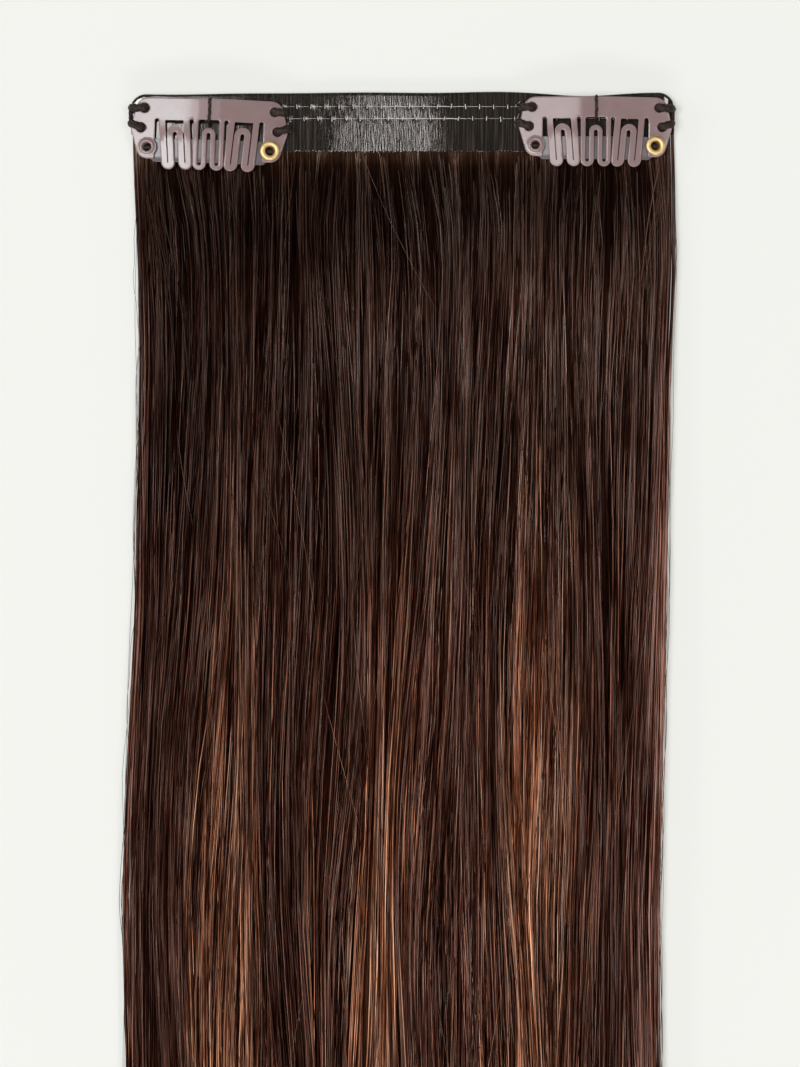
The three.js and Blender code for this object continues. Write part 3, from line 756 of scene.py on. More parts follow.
def stray_strands(table, band, name):
    """Loose single hairs: some lie aslant on top, some of them from the band's two ends
    inwards, and some stand off the two sides."""
    band_foot, middle = band
    lying, standing, from_ends = 150, 130, 30
    count = lying + standing
    share = np.linspace(0, 1, 17)[None, :]
    is_side = (np.arange(count) >= lying)[:, None]
    from_along = rng.uniform(0.0, 0.8, count)[:, None]
    length = np.where(
        is_side[:, 0], rng.uniform(0.1, 0.4, count), rng.uniform(0.05, 0.22, count)
    )[:, None]
    from_along[lying:] = 0.8 * (from_along[lying:] / 0.8) ** 1.5
    from_along[:from_ends] *= 0.03
    length[:from_ends] = rng.uniform(0.05, 0.13, (from_ends, 1))
    down = np.clip(from_along + share * length, 0, 0.99)
    half = outline_at(down, "width") * HAIR_WIDTH / 2
    centre = middle + outline_at(down, "sway") * SWAY_UNIT * HAIR_WIDTH
    slant = rng.normal(0, 0.17, (count, 1))
    bend = rng.normal(0, 0.12, (count, 1))
    at = rng.uniform(-0.97, 0.97, (count, 1))
    end = np.where(np.arange(from_ends) < 0.6 * from_ends, -1, 1)[:, None]
    at[:from_ends] = end * rng.uniform(0.93, 0.985, (from_ends, 1))
    slant[:from_ends] = -end * rng.uniform(0.08, 0.36, (from_ends, 1))
    bend[:from_ends] = -0.45 * slant[:from_ends]
    run = share * length * HAIR_LENGTH / (HAIR_WIDTH / 2)
    at = at + slant * run + bend * run * share
    at = np.clip(at, -0.985, 0.985)
    side = rng.choice([-1.0, 1.0], count)
    bow = np.sin(math.pi * share) ** 1.3 * rng.uniform(0.3, 1.0, (count, 1)) ** 2 * 1.3
    bow = bow + np.clip(waves(share, count, 0.16, 3.0), -0.5, 0.5)
    x = centre + np.where(is_side, side[:, None] * (half - 0.3 + bow), at * half)
    tops = sample_heights(table, down, at)
    z = np.where(is_side, rng.uniform(0.3, 2.4, (count, 1)), tops + 0.22)
    centres = np.stack([x, band_foot - down * HAIR_LENGTH, z], -1)
    radius = rng.uniform(0.028, 0.05, (count, 1)) * np.where(is_side, 1.25, 1)
    radius[:from_ends] *= np.where(end < 0, 1.0, 1.2)
    taper = np.interp(share, (0, 0.1, 0.85, 1), (0.4, 1, 1, 0.3))
    colour_u = np.where(is_side[:, 0], 0.5 + side * rng.uniform(0.46, 0.497, count), (at[:, 0] + 1) / 2)
    # Those from the ends take the colour of the hair just under the film, which is lightened there
    # against the film's shade. On these strays that lightening is painted light.
    colour_v = down.copy()
    colour_v[:from_ends] = np.where(end < 0, 0.012, 0.004) + 0.03 * down[:from_ends]
    return strand_mesh(name, centres, radius * taper, colour_u, colour_v)


def hair_core(hair, band_foot):
    """The mass of hair under the strands: a copy of the hair solid, drawn in a little."""
    core = bpy.data.objects.new("hair_core", hair.data.copy())
    bpy.context.scene.collection.objects.link(core)
    merge_doubles(core)
    bpy.ops.object.mode_set(mode="EDIT")
    bpy.ops.mesh.select_all(action="SELECT")
    tip = (band_foot - CORE_END * HAIR_LENGTH) * MM
    bpy.ops.mesh.bisect(plane_co=(0, tip, 0), plane_no=(0, -1, 0), use_fill=True, clear_outer=True)
    bpy.ops.mesh.select_all(action="SELECT")
    root = (band_foot + HAIR_TUCK) * MM
    bpy.ops.mesh.bisect(plane_co=(0, root, 0), plane_no=(0, 1, 0), use_fill=True, clear_outer=True)
    bpy.ops.object.mode_set(mode="OBJECT")
    points = points_of(core)
    points[:, 0] *= CORE_INSET
    past = np.clip((band_foot * MM - points[:, 1]) / (8 * MM), 0, 1)
    drawn_in = np.clip(points[:, 2] * 0.84 - 0.3 * MM, 0.4 * MM, None)
    points[:, 2] += (drawn_in - points[:, 2]) * past
    # Towards the tips the mass thins out and ends in uneven points.
    thin = np.clip((tip - points[:, 1]) / (TIPS * MM) + 1, 0, 1)
    knots = np.arange(-HAIR_WIDTH / 2, HAIR_WIDTH / 2 + 2, 1.6)
    points[:, 1] += thin * np.interp(
        points[:, 0] / MM, knots, rng.uniform(0, 0.48, len(knots))
    ) * TIPS * MM
    points[:, 2] *= 1 - 0.65 * thin
    set_points(core, points)
    return smooth(core, 60)


# The band, its stitches and the cut threads at its foot


def band_top_edge(x):
    """How far below its level top line the band's folded edge lies, at each x."""
    half = BAND_WIDTH / 2
    dip = (
        0.35 * np.exp(-(((x + 45) / 15) ** 2))
        + 0.62 * np.exp(-(((x - 38) / 9) ** 2))
        + 0.06 * np.sin(x / 4.7)
    )
    dip = dip - 0.2 - 0.15 * np.exp(-(((x - 18) / 9) ** 2))
    into = np.clip(np.abs(x) - (half - BAND_CORNER), 0, BAND_CORNER)
    corner = BAND_CORNER - np.sqrt(np.maximum(BAND_CORNER**2 - into**2, 0))
    return dip + corner


def band_foot_edge(x):
    """How far the film's foot is drawn up: the ends are cut away over the last roots, and
    the cutter leaves a fine uneven edge."""
    into = np.clip((np.abs(x) - (BAND_WIDTH / 2 - 5)) / 4.2, 0, 1)
    uneven = 0.05 * np.sin(x * 9.1 + 1.3) + 0.05 * np.sin(x * 5.3) + 0.04 * np.sin(x * 2.1 + 2.0)
    return 3.4 * into * into * (3 - 2 * into) + uneven


def film_wave(x, y):
    """How the upper leaf waves between the stitches and is dimpled by them. y is 0 at the
    band's top and goes down."""
    wave = (
        0.045 * np.sin(x / 6.1 + 0.8)
        + 0.02 * np.sin(x / 2.9 + y / 5.0)
        + 0.008 * np.sin(x / 1.3 - y / 3.0)
    )
    ends = np.clip((BAND_WIDTH / 2 - 0.8 - np.abs(x)) / 1.6, 0, 1)
    wave = wave * np.clip(-y / 4, 0, 1) * ends
    for row, drop in enumerate(STITCH_ROWS):
        phase = (x / STITCH_PITCH + 0.5 * row) % 1 - 0.5
        pull = np.exp(-((phase / 0.16) ** 2))
        wave = wave - 0.07 * np.exp(-(((-y - drop) / 0.27) ** 2)) * (0.06 + pull)
    return wave


# The film's rows of points, from the lower leaf's foot over the fold to the upper leaf's.
# They lie closest where the upper leaf is stitched.
FILM_ROWS = (
    -1, -0.7, -0.35, -0.12, -0.06, -0.04, -0.02, 0, 0.02, 0.04, 0.056, 0.068, 0.08, 0.1, 0.13,
    0.16, 0.185, 0.21, 0.235, 0.26,
)
FILM_ROWS += (0.3, 0.34, 0.37, 0.4, 0.425, 0.45, 0.48, 0.55, 0.64, 0.73, 0.82, 0.91, 1)


def film_band(band_top, middle):
    """The film, one sheet folded over the roots: a flat grid, wrapped round the fold."""
    columns, rows = 270, len(FILM_ROWS) - 1
    deselect_all()
    bpy.ops.mesh.primitive_grid_add(
        x_subdivisions=columns, y_subdivisions=rows, size=2, location=(0, 0, 0)
    )
    band = bpy.context.object
    band.name = "film_band"
    flat = points_of(band)
    flat[:, 1] = np.interp(flat[:, 1], np.linspace(-1, 1, rows + 1), FILM_ROWS)
    half = BAND_WIDTH / 2
    x = flat[:, 0] * half
    edge = band_top_edge(x)
    # The fold runs round a half circle, and each leaf from there down to the foot.
    bend = (FILM + FOLD_GAP) / 2
    turn = math.pi * bend / 2
    leaf = BAND_HEIGHT - bend - FILM / 2 - edge - band_foot_edge(x)
    run = flat[:, 1] * (leaf + turn)
    on_leaf = np.abs(run) - turn
    angle = np.clip(run / turn, -1, 1) * math.pi / 2
    # The fold is pressed, so it is squarer than a half circle.
    y = np.where(on_leaf > 0, -on_leaf, bend * np.cos(angle) ** 0.15) - bend - FILM / 2 - edge
    level = FILM + FOLD_GAP / 2
    z = level + bend * np.sign(run) * np.where(on_leaf > 0, 1, np.abs(np.sin(angle)) ** 0.33)
    # The welded ends bring both leaves together.
    weld = np.clip((np.abs(x) - (half - 2.4)) / 1.6, 0, 1)
    z = level + (z - level) * (1 - 0.42 * weld * weld * (3 - 2 * weld))
    z = z + np.where(run > 0, film_wave(x, y), 0)
    set_points(band, np.stack([x, y, z], -1))
    modifier(band, "SOLIDIFY", thickness=FILM, offset=0, use_even_offset=True)
    modifier(band, "BEVEL", width=0.05, segments=1, limit_method="ANGLE", angle_limit=math.radians(50))
    finish_modifiers(band)
    only(band)
    bpy.ops.object.mode_set(mode="EDIT")
    bpy.ops.mesh.select_all(action="SELECT")
    bpy.ops.mesh.normals_make_consistent(inside=False)
    bpy.ops.object.mode_set(mode="OBJECT")
    place(band, Vector((middle, band_top, 0)))
    return smooth(band, 40)


def tube(name, path, radius, sides=8, closed=False):
    """A thread along a path of points, as a round tube."""
    curve = bpy.data.curves.new(name, "CURVE")
    curve.dimensions = "3D"
    curve.bevel_depth = radius
    curve.bevel_resolution = max(0, sides // 4 - 1)
    curve.use_fill_caps = True
    spline = curve.splines.new("POLY")
    spline.points.add(len(path) - 1)
    for point, at in zip(spline.points, path):
        point.co = (*at, 1)
    spline.use_cyclic_u = closed
    obj = bpy.data.objects.new(name, curve)
    bpy.context.scene.collection.objects.link(obj)
    only(obj)
    bpy.ops.object.convert(target="MESH")
    return bpy.context.object


def join(name, objects):
    deselect_all()
    for obj in objects:
        obj.select_set(True)
    bpy.context.view_layer.objects.active = objects[0]
    bpy.ops.object.join()
    joined = bpy.context.object
    joined.name = name
    return joined


def stitch_rows(band_top, middle):
    """Two rows of lock stitch. Each stitch lies on the film and dives in at the needle's
    holes, where the under thread is pulled up in a short upright loop."""
    surface = 2 * FILM + FOLD_GAP
    thread = STITCH_THREAD / 2
    reach = STITCH_PITCH / 2
    made = []
    for row, drop in enumerate(STITCH_ROWS):
        count = int(BAND_WIDTH / 2 / STITCH_PITCH) - 1
        for i in range(-count, count + 1):
            x = (i + 0.5 * row) * STITCH_PITCH
            # Where the film is slack, near the middle, the thread stands free of it.
            slack = 1 - min(max((abs(x - 3.5) - 8) / 4, 0), 1)
            thick = thread * (0.38 + 0.6 * slack) * rng.uniform(0.75, 1.2)
            path = []
            for aside, rise in (
                (-0.93, -0.2), (-0.84, -0.02), (-0.5, 0.02), (0, 0.03), (0.5, 0.02), (0.84, -0.02),
                (0.93, -0.2),
            ):
                at = x + aside * reach
                y = -drop + rng.normal(0, 0.02)
                path.append(
                    (at, y, surface + float(film_wave(at, y)) + rise + thick * (0.1 + 0.7 * slack))
                )
            made.append(tube("stitch", path, thick, 4))
            at, y = x + reach, -drop + rng.normal(0, 0.06)
            long = rng.uniform(0.5, 0.72)
            lean = rng.normal(0, 0.09)
            path = []
            for up, rise in ((-1, -0.14), (-0.66, 0.02), (0, 0.12), (0.66, 0.02), (1, -0.14)):
                path.append((at + lean * up, y + long * up, surface + float(film_wave(at, y)) + rise))
            made.append(tube("loop", path, thread * rng.uniform(0.85, 1.2)))
    rows = join("band_stitches", made)
    place(rows, Vector((middle, band_top, 0)))
    return smooth(rows, 60)


def foot_fibres(band_top, middle):
    """Short pale fibres along the film's foot, where its cut edge shows a fine line of pale specks. They
    lie thickest and longest a little left of the middle.
    """
    count = 140
    x = np.where(
        rng.random(count) < 0.65,
        rng.normal(-5, 11, count),
        rng.uniform(-1, 1, count) * (BAND_WIDTH / 2 - 4),
    )
    dense = np.exp(-(((x + 5) / 17) ** 2)) + 0.2
    long = rng.uniform(0.05, 0.62, count) ** 2 * np.clip(dense, 0, 1)
    foot = band_top - BAND_HEIGHT + band_foot_edge(x)
    share = np.linspace(0, 1, 5)[None, :]
    slant = rng.normal(0, 0.16, count)[:, None]
    centres = np.stack(
        [
            middle + x[:, None] + slant * share,
            foot[:, None] + 0.1 - share * (long[:, None] + 0.1),
            2 * FILM + FOLD_GAP - 0.02 + 0.03 * share + rng.uniform(-0.03, 0.03, (count, 1)),
        ],
        -1,
    )
    radius = rng.uniform(0.02, 0.05, (count, 1)) * np.ones((1, 5))
    return strand_mesh(
        "film_foot_fibres", centres, radius, rng.uniform(0.1, 0.9, count), 0.5 + 0 * (share * slant)
    )


# The clips and the threads on them


def arc(cx, cy, radius, start, end, steps=14):
    """Points on an arc, its angles in degrees."""
    turn = np.radians(np.linspace(start, end, steps + 1))
    return [(cx + radius * math.cos(t), cy + radius * math.sin(t)) for t in turn]


def rounded(before, corner, after, size, steps=6):
    """A corner's points when it is rounded towards its neighbours."""
    before, corner, after = (np.array(p, float) for p in (before, corner, after))
    a = corner + (before - corner) * size / np.linalg.norm(before - corner)
    b = corner + (after - corner) * size / np.linalg.norm(after - corner)
    shares = np.linspace(0, 1, steps + 1)
    return [tuple(a * (1 - t) ** 2 + corner * 2 * t * (1 - t) + b * t**2) for t in shares]


HALF_STRIP = TOOTH_STRIP / 2
LEG_OUT = (TOOTH_PITCH - SLOT - TOOTH_STRIP) / 2
BEND = LEG_OUT / 3
LOWER_BEND = -TOOTH_REACH + BEND + HALF_STRIP
UPPER_BEND = -WINDOW_DROP - WINDOW_HEIGHT - BEND - HALF_STRIP
SLOT_TOP = -WINDOW_DROP - SLOT / 2
TEETH = (-TOOTH_PITCH, 0.0, TOOTH_PITCH)


def leaned(points):
    """Leans the outer teeth towards the middle one, most at their tips."""
    made = []
    for x, y in points:
        if abs(x) < ARM_INNER - SLOT / 2 and y < SLOT_TOP:
            tooth = min(TEETH, key=lambda t: abs(x - t))
            x -= tooth / TOOTH_PITCH * TOOTH_LEAN * (SLOT_TOP - y)
        made.append((x, y))
    return made


def plate_loops():
    """The comb plate's outer edge, and the edges of its windows and holes."""
    top = PLATE_HALF - PLATE_SLANT
    foot = -RIVET_DROP - LOBE_RADIUS
    reach = math.hypot(PLATE_HALF - RIVET_OUT, RIVET_DROP - SHOULDER_DROP)
    meet = math.degrees(
        math.acos(LOBE_RADIUS / reach) - math.atan2(RIVET_DROP - SHOULDER_DROP, PLATE_HALF - RIVET_OUT)
    )
    lobe_side = (RIVET_OUT + LOBE_RADIUS, -RIVET_DROP)
    wide = BEND + HALF_STRIP
    left = rounded((top, 0), (-top, 0), (-PLATE_HALF, -SHOULDER_DROP), 2.4, 10)
    left += rounded((-top, 0), (-PLATE_HALF, -SHOULDER_DROP), (-lobe_side[0], lobe_side[1]), 0.65)
    left += arc(-RIVET_OUT, -RIVET_DROP, LOBE_RADIUS, 180 + meet, 270)
    left += rounded((-RIVET_OUT, foot), (-ARM_INNER, foot), (-ARM_INNER, SLOT_TOP), 0.3, 4)
    right = [(-x, y) for x, y in reversed(left)]
    edge = list(left)
    for tooth in TEETH:
        edge += arc(tooth - TOOTH_PITCH / 2, SLOT_TOP, SLOT / 2, 180, 0, 8)
        edge += arc(tooth - 2 * BEND, LOWER_BEND, wide, 180, 360, 14)
        edge += arc(tooth, UPPER_BEND, BEND - HALF_STRIP, 180, 0, 10)
        edge += arc(tooth + 2 * BEND, LOWER_BEND, wide, 180, 360, 14)
    edge += arc(TEETH[-1] + TOOTH_PITCH / 2, SLOT_TOP, SLOT / 2, 180, 0, 8)
    edge += right
    loops = [leaned(edge)]
    side = LEG_OUT - HALF_STRIP
    for tooth in TEETH:
        a, b = (tooth - side, -WINDOW_DROP), (tooth + side, -WINDOW_DROP)
        hole = rounded(b, a, (a[0], LOWER_BEND), 0.5)
        hole += arc(tooth - 2 * BEND, LOWER_BEND, BEND - HALF_STRIP, 180, 360, 8)
        hole += arc(tooth, UPPER_BEND, BEND + HALF_STRIP, 180, 0, 14)
        hole += arc(tooth + 2 * BEND, LOWER_BEND, BEND - HALF_STRIP, 180, 360, 8)
        hole += rounded((b[0], LOWER_BEND), b, a, 0.5)
        loops.append(leaned(hole))
    for sign in (-1, 1):
        for out, drop in SEW_HOLES:
            loops.append(arc(sign * out, -drop, SEW_HOLE, 0, 345, 23))
        loops.append(arc(sign * RIVET_OUT, -RIVET_DROP, RIVET_HOLE, 0, 345, 23))
    return loops


def arch(x):
    """The plate's height over its ends: level in the middle, then a soft crease and a fall
    that steepens a little outwards."""
    past = np.abs(x) - PLATE_FLAT
    out = (past + np.sqrt(past**2 + 0.9)) / 2
    rest = (PLATE_CROWN - PLATE_FALL * (PLATE_HALF - PLATE_FLAT)) / (PLATE_HALF - PLATE_FLAT) ** 2
    return PLATE_CROWN - PLATE_FALL * out - rest * out**2


ARCH_AT_RIVET = float(arch(np.array([RIVET_OUT]))[0])


def comb_rise(x, y):
    """The teeth arch over the bar and dip at their tips."""
    along = np.clip((-y - WINDOW_DROP - 0.3) / (TOOTH_REACH - WINDOW_DROP - 0.3), 0, 1)
    rise = 0.16 * np.sin(math.pi * along) ** 2 - 0.3 * along**3
    return np.where((np.abs(x) < ARM_INNER - SLOT / 2) & (along > 0), rise, 0)


def pressed_sheet(name, loops, thickness, bevel):
    """A stamped sheet with soft edges, from the flat outline of its loops."""
    curve = bpy.data.curves.new(name, "CURVE")
    curve.dimensions = "2D"
    curve.fill_mode = "BOTH"
    curve.extrude = thickness / 2 - bevel
    curve.bevel_depth = bevel
    curve.bevel_resolution = 1
    curve.offset = -bevel
    for loop in loops:
        spline = curve.splines.new("POLY")
        spline.points.add(len(loop) - 1)
        for point, at in zip(spline.points, loop):
            point.co = (*at, 0, 1)
        spline.use_cyclic_u = True
    obj = bpy.data.objects.new(name, curve)
    bpy.context.scene.collection.objects.link(obj)
    only(obj)
    bpy.ops.object.convert(target="MESH")
    return merge_doubles(bpy.context.object, 0.004)


def score(obj, axis, places):
    """Cuts a flat sheet along straight lines, so that it can be bent there."""
    only(obj)
    bpy.ops.object.mode_set(mode="EDIT")
    normal = (1, 0, 0) if axis == 0 else (0, 1, 0)
    for value in places:
        bpy.ops.mesh.select_all(action="SELECT")
        bpy.ops.mesh.bisect(plane_co=tuple(value * n for n in normal), plane_no=normal)
    bpy.ops.object.mode_set(mode="OBJECT")


def comb_plate():
    plate = pressed_sheet("comb_plate", plate_loops(), PLATE_SHEET, 0.235)
    score(
        plate,
        0,
        (-14, -12, -10, -8, -6, -4.6, -3.6, -3.0, -2.5, -2.0, 2.0, 2.5, 3.0, 3.6, 4.6, 6, 8, 10, 12, 14),
    )
    score(plate, 1, -np.arange(4.6, 14.4, 1.0))
    points = points_of(plate)
    x, y = points[:, 0], points[:, 1]
    points[:, 2] += PLATE_LOW + PLATE_SHEET / 2 + arch(x) - ARCH_AT_RIVET + comb_rise(x, y)
    set_points(plate, points)
    modifier(plate, "WEIGHTED_NORMAL", keep_sharp=True, weight=80)
    smooth(plate, 50)
    return finish_modifiers(plate)


def back_bar():
    shoulder, head, foot = RIVET_OUT - 1.1, -RIVET_DROP + 1.85, -RIVET_DROP - 2.95
    edge = rounded((-shoulder - 2, foot), (shoulder, foot), (RIVET_OUT, foot + 2), 0.6)
    edge += arc(RIVET_OUT, -RIVET_DROP, 2.1, -75, 75)
    edge += [(shoulder, head), (-shoulder, head)]
    edge += arc(-RIVET_OUT, -RIVET_DROP, 2.1, 105, 255)
    edge += rounded((-RIVET_OUT, foot + 2), (-shoulder, foot), (shoulder, foot), 0.6)
    loops = [edge]
    for sign in (-1, 1):
        loops.append(arc(sign * RIVET_OUT, -RIVET_DROP, RIVET_HOLE, 0, 345, 23))
    bar = pressed_sheet("back_bar", loops, BAR_SHEET, 0.1)
    score(bar, 0, np.arange(-14, 14.1, 1.0))
    score(bar, 1, (-12.7, -12.4, -12.1))
    points = points_of(bar)
    x, y = points[:, 0], points[:, 1]
    # The bar's foot is rolled up a little, to stiffen it.
    roll = np.clip((-12.1 - y) / 0.9, 0, 1) ** 2 * 0.22
    points[:, 2] += BAR_LOW + BAR_SHEET / 2 + arch(x) - ARCH_AT_RIVET + roll
    set_points(bar, points)
    modifier(bar, "WEIGHTED_NORMAL", keep_sharp=True, weight=80)
    smooth(bar, 50)
    return finish_modifiers(bar)


def eyelet(name, side):
    """A hollow rivet: its profile is drawn once and spun, then tilted with the arm. The
    painted one has a flat flange with a rolled lip in it, the brass one is one round roll."""
    low = BAR_LOW - 0.12
    face = PLATE_LOW + PLATE_SHEET + 0.1
    if side < 0:
        lip = [(1.93, face - 0.12), (1.97, face + 0.0), (1.9, face + 0.09), (1.58, face + 0.1)]
        lip += [
            (1.22 + 0.3 * math.cos(t), face + 0.14 + 0.28 * math.sin(t))
            for t in np.radians((0, 30, 60, 90, 120, 150))
        ]
        lip += [(0.9, face + 0.1), (0.82, face - 0.15)]
        bore = 0.78
    else:
        lip = [
            (1.5 + 0.53 * math.cos(t), face + 0.02 + 0.42 * math.sin(t))
            for t in np.radians(range(-12, 181, 16))
        ]
        lip += [(0.93, face - 0.12)]
        bore = 0.9
    profile = [
        (bore, low - 0.25),
        (1.55, low - 0.25),
        (1.55, low),
        (1.15, low),
        (1.15, face - 0.12),
        *lip,
        (bore, face - 0.4),
    ]
    mesh = bpy.data.meshes.new(name)
    mesh.from_pydata(
        [(r, 0, z) for r, z in profile],
        [(i, (i + 1) % len(profile)) for i in range(len(profile))],
        [],
    )
    obj = bpy.data.objects.new(name, mesh)
    bpy.context.scene.collection.objects.link(obj)
    only(obj)
    bpy.ops.object.mode_set(mode="EDIT")
    bpy.ops.mesh.select_all(action="SELECT")
    bpy.ops.mesh.spin(steps=40, angle=2 * math.pi, center=(0, 0, 0), axis=(0, 0, 1))
    bpy.ops.object.mode_set(mode="OBJECT")
    merge_doubles(obj, 0.001)
    slope = float(arch(np.array([RIVET_OUT - 0.5]))[0] - arch(np.array([RIVET_OUT + 0.5]))[0])
    middle = (BAR_LOW + PLATE_LOW + PLATE_SHEET) / 2
    tilt = Matrix.Rotation(side * math.atan(slope), 4, "Y")
    seat = Matrix.Translation((side * RIVET_OUT, -RIVET_DROP, middle))
    obj.data.transform(seat @ tilt @ Matrix.Translation((0, 0, -middle)))
    return smooth(obj, 40)


def bundle(name, path, width, plies=4, twist=1.6):
    """Sewing thread laid several times over the same way, a little twisted."""
    path = [Vector(p) for p in path]
    # A smooth line through the points
    fine = []
    for i in range(len(path) - 1):
        before = path[max(i - 1, 0)]
        after = path[min(i + 2, len(path) - 1)]
        for t in np.linspace(0, 1, 7)[:-1]:
            a, b = path[i], path[i + 1]
            m0, m1 = (b - before) / 2, (after - a) / 2
            h = (2 * t**3 - 3 * t**2 + 1, t**3 - 2 * t**2 + t, -2 * t**3 + 3 * t**2, t**3 - t**2)
            fine.append(a * h[0] + m0 * h[1] + b * h[2] + m1 * h[3])
    fine.append(path[-1])
    made = []
    ply = width / 2 * 0.34
    for k in range(plies):
        line = []
        wobble = rng.uniform(0, 6, 2)
        for i, at in enumerate(fine):
            ahead = fine[min(i + 1, len(fine) - 1)] - fine[max(i - 1, 0)]
            across = ahead.cross(Vector((0, 0, 1)))
            if across.length < 1e-6:
                across = Vector((1, 0, 0))
            across.normalize()
            above = across.cross(ahead).normalized()
            angle = 2 * math.pi * k / plies + twist * i / len(fine) * math.pi
            out = (width / 2 - ply) * (1 + 0.16 * math.sin(i * 0.9 + wobble[0]))
            line.append(at + (across * math.cos(angle) + above * math.sin(angle)) * out)
        made.append(tube(name, line, ply * rng.uniform(0.8, 1.1), 8))
    made.append(tube(name, fine, width / 2 * 0.6, 8))
    return made


def lashings(side_name):
    """The thread that sews a clip on: through each side hole and round the band's end or
    into the band, and over the top edge into the middle window."""
    outer = -1 if side_name == "left" else 1
    film = 0.0
    made = []
    for sign in (-1, 1):
        for number, (out, drop) in enumerate(SEW_HOLES):
            top = PLATE_LOW + PLATE_SHEET + float(arch(np.array([out]))[0]) - ARCH_AT_RIVET
            edge = PLATE_HALF - PLATE_SLANT * (1 - drop / SHOULDER_DROP)
            rise = 0.9 if number else -0.1
            end = PLATE_HALF - 0.1 if sign == outer else edge + 0.1
            foot = -1.0 if sign == outer else -0.35
            path = [
                (sign * (out - 0.1), -drop, top - 1.0),
                (sign * (out - 0.12), -drop, top - 0.25),
                (sign * (out + 0.2), -drop + rise * 0.1, top + 0.3),
                (sign * (edge - 0.5), -drop + rise * 0.6, top + 0.3),
                (sign * (end - 0.1), -drop + rise * 0.85, top - 0.15),
                (sign * end, -drop + rise, film + 0.2),
                (sign * (end - 0.05), -drop + rise, foot),
            ]
            made += bundle(
                "lash", path, 1.6 + rng.uniform(-0.12, 0.12), plies=9, twist=rng.uniform(1.5, 3)
            )
        if sign == outer:
            end = PLATE_HALF + 0.1
            link = [
                (sign * end, -2.3, film - 0.1),
                (sign * (end + 0.1), -3.1, film + 0.2),
                (sign * (end + 0.05), -4.2, film + 0.15),
                (sign * end, -5.2, film - 0.2),
            ]
            made += bundle("lash", link, 0.9, plies=5, twist=3.5)
    top = PLATE_LOW + PLATE_SHEET + PLATE_CROWN - ARCH_AT_RIVET
    over = [
        (0.1, -0.2, film - 0.7),
        (0.1, -0.1, film + 0.25),
        (0.05, 0.05, top - 0.15),
        (0.0, -0.5, top + 0.22),
        (0.05, -2.3, top + 0.22),
        (-0.02, -3.9, top + 0.22),
        (0.0, -4.6, top - 0.1),
        (0.02, -5.1, film + 0.6),
        (0.0, -5.3, film - 0.2),
    ]
    made += bundle("lash", over, 0.68, plies=3, twist=7.0)
    # A short dark tube of the brown thread under each rivet makes its bore dark: painted shade in the
    # hole.
    for sign in (-1, 1):
        x, y = sign * RIVET_OUT, -RIVET_DROP
        made.append(
            tube(
                "lash",
                [(x - 1.1, y, 0.1), (x - 0.4, y, 0.2), (x + 0.4, y, 0.2), (x + 1.1, y, 0.1)],
                0.8,
                16,
            )
        )
    return join(side_name + "_clip_lashings", made)


def knots(side_name):
    """The ends of the clear stitching thread, knotted off beside the clip."""
    inner = 1 if side_name == "left" else -1
    made = []
    for k in range(7):
        x, y = PLATE_HALF + rng.uniform(-0.2, 0.7), rng.uniform(-6.0, -0.8)
        angle = rng.uniform(0, math.pi)
        reach = rng.uniform(0.2, 0.45)
        step = Vector((math.cos(angle), math.sin(angle), 0)) * reach
        at = Vector((inner * x, y, 0.05))
        bow = Vector((-step.y, step.x, 0)) * rng.uniform(-0.6, 0.6)
        rise = Vector((0, 0, rng.uniform(0.15, 0.4)))
        made.append(
            tube(
                "knot",
                [at - step, at - step * 0.4 + bow + rise, at + step * 0.4 + bow + rise, at + step],
                0.04,
            )
        )
    return join(side_name + "_clip_thread_ends", made)


def build_clips(band_top, middle, paint, shaded_bar_paint, brass, brown_thread, pale_thread):
    face = 2 * FILM + FOLD_GAP
    for name, (sign, shift, turn, size) in CLIP_PLACES.items():
        offset = Vector(
            (middle + sign * CLIP_SPACING / 2 + 0.3 * (size > 1), band_top - CLIP_DROP + shift, face)
        )
        for made, node_name, material, slot in (
            (comb_plate(), "comb_plate", paint, "paint"),
            (back_bar(), "back_bar", shaded_bar_paint, "paint"),
            (eyelet("painted_eyelet", -1), "paint_eyelet", paint, "paint"),
            (eyelet("brass_eyelet", 1), "brass_eyelet", brass, "brass"),
            (smooth(lashings(name), 60), None, brown_thread, "hair"),
            (smooth(knots(name), 60), None, pale_thread, "film"),
        ):
            if node_name:
                made.name = f"{name}_{made.name}"
            made.data.transform(Matrix.Scale(size, 4))
            place(made, offset, turn)
            keep(made, material, slot, *([f"{name}_clip_{node_name}"] if node_name else []))


# The table, the light and the camera


LIGHT_HEIGHT = 4.8


def softbox(name, left, right, near, far, radiance, height=LIGHT_HEIGHT, colour=(1, 1, 1)):
    """A rectangular light that faces straight down, between its four edges."""
    light = bpy.data.lights.new(name, "AREA")
    light.shape = "RECTANGLE"
    light.size, light.size_y = right - left, far - near
    light.energy = math.pi * (right - left) * (far - near) * radiance
    light.color = colour
    obj = bpy.data.objects.new(name, light)
    bpy.context.scene.collection.objects.link(obj)
    obj.location = ((left + right) / 2, (near + far) / 2, height)


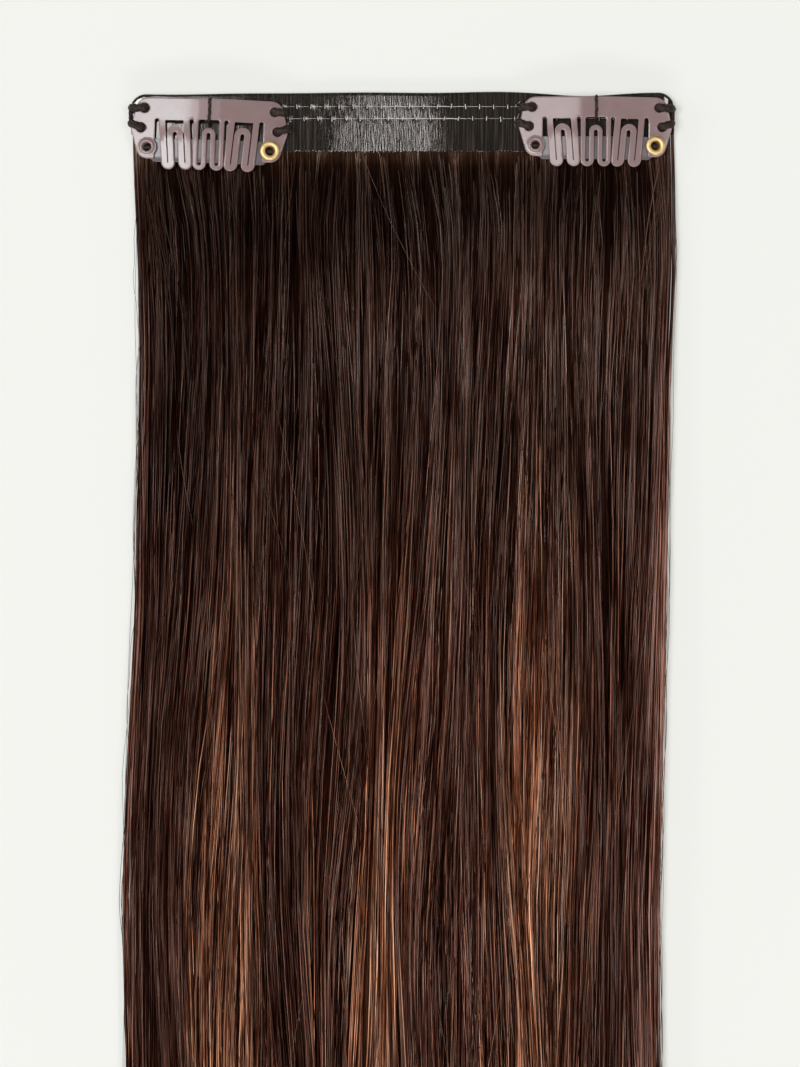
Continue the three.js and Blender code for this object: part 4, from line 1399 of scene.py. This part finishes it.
def studio():
    deselect_all()
    bpy.ops.mesh.primitive_plane_add(size=8, location=(0, 0, -0.0002))
    table = bpy.context.object
    table.name = "pale_table"
    material, tree, shader = new_material("opal_acrylic_table_lit")
    set_shader(shader, Base_Color=linear("bfbcb8"), Roughness=0.9, Specular_IOR_Level=0.1)
    set_shader(shader, Emission_Color=linear("f3f5ee"), Emission_Strength=0.375)
    table.data.materials.append(material)

    # White walls low down and a dark ceiling, so that gloss comes from the softboxes
    world = bpy.context.scene.world or bpy.data.worlds.new("studio")
    bpy.context.scene.world = world
    world.use_nodes = True
    tree = world.node_tree
    height = node(tree, "SeparateXYZ", Vector=node(tree, "TexCoord").outputs["Generated"]).outputs[2]
    walls = ramp(tree, height, ((0.0, 0.95), (0.12, 0.85), (0.3, 0.25), (0.55, 0.05)), True)
    tree.links.new(walls, tree.nodes["Background"].inputs["Color"])

    softbox("softbox_left", -1.25, -0.42, -1.9, 1.1, 4.6)
    softbox("softbox_far_left", -3.4, -1.25, -1.9, 1.1, 9.8, colour=(0.93, 1, 1.02))
    softbox("softbox_right", 1.95, 3.3, -1.9, 1.1, 5.5)
    softbox("softbox_front_low", -1.6, 1.6, -4.6, -2.9, 6.0, 1.9)
    softbox("softbox_left_low", -4.9, -3.4, -1.2, 1.4, 5.0, 1.9)

    scene = bpy.context.scene
    camera = bpy.data.cameras.new("camera")
    camera.lens = VIEW_LENS
    camera.clip_end = 10
    eye = bpy.data.objects.new("camera", camera)
    scene.collection.objects.link(eye)
    eye.location = (VIEW_X * MM, VIEW_Y * MM, VIEW_HEIGHT * MM * VIEW_LENS / 36 + 0.002)
    eye.rotation_euler = (0, 0, 0)
    scene.camera = eye
    scene.view_settings.view_transform = "Standard"
    scene.view_settings.look = "None"


def main():
    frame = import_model()
    deselect_all()
    band_low, band_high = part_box("weft_band")
    middle = (band_low.x + band_high.x) / 2 / MM
    band_top = band_high.y / MM
    band_foot = band_top - BAND_HEIGHT - 0.15

    film = film_material()
    paint = paint_material("enamel_on_spring_steel", "937a78", 0.11)
    # The back bar carries the plate's enamel. Its colour is painted darker and greyer, as the shade of
    # the teeth over it.
    shaded_bar_paint = paint_material("enamel_on_back_bar_painted_shade", "756a6c", 0.22)
    brass = brass_material()
    brown_thread = thread_material("polyester_thread_brown", "38241a", "0b0604", 0.25)
    pale_thread = thread_material("nylon_thread_clear", "ece7e0", "a09a93", 0.1)
    hair_look = hair_material("human_hair_streaked", False)
    shaded_core_look = hair_material("human_hair_mass_painted_shade", True)

    keep(film_band(band_top, middle), film, "film", "weft_band")
    keep(stitch_rows(band_top, middle), pale_thread, "film")
    keep(foot_fibres(band_top, middle), pale_thread, "film")

    hair = frame["nodes"]["hair_fall"]
    table = hair_heights(hair, band_foot, middle)
    keep(hair_core(hair, band_foot), shaded_core_look, "hair", "hair_fall")
    locks = hair_locks()
    band = (band_foot, middle)
    layers = (
        (380, 0.0, 0.5, True), (800, 0.5, 1.0, False), (985, 0.25, 0.65, False),
        (985, 0.05, 0.4, False), (985, -0.08, 0.25, False),
    )
    for number, (count, low, high, under) in enumerate(layers, 1):
        strands = hair_strands(f"hair_strands_{number}", count, locks, table, band, low, high, under)
        keep(strands, hair_look, "hair", "hair_fall")
    keep(stray_strands(table, band, "hair_strays"), hair_look, "hair", "hair_fall")

    build_clips(band_top, middle, paint, shaded_bar_paint, brass, brown_thread, pale_thread)

    studio()


main()
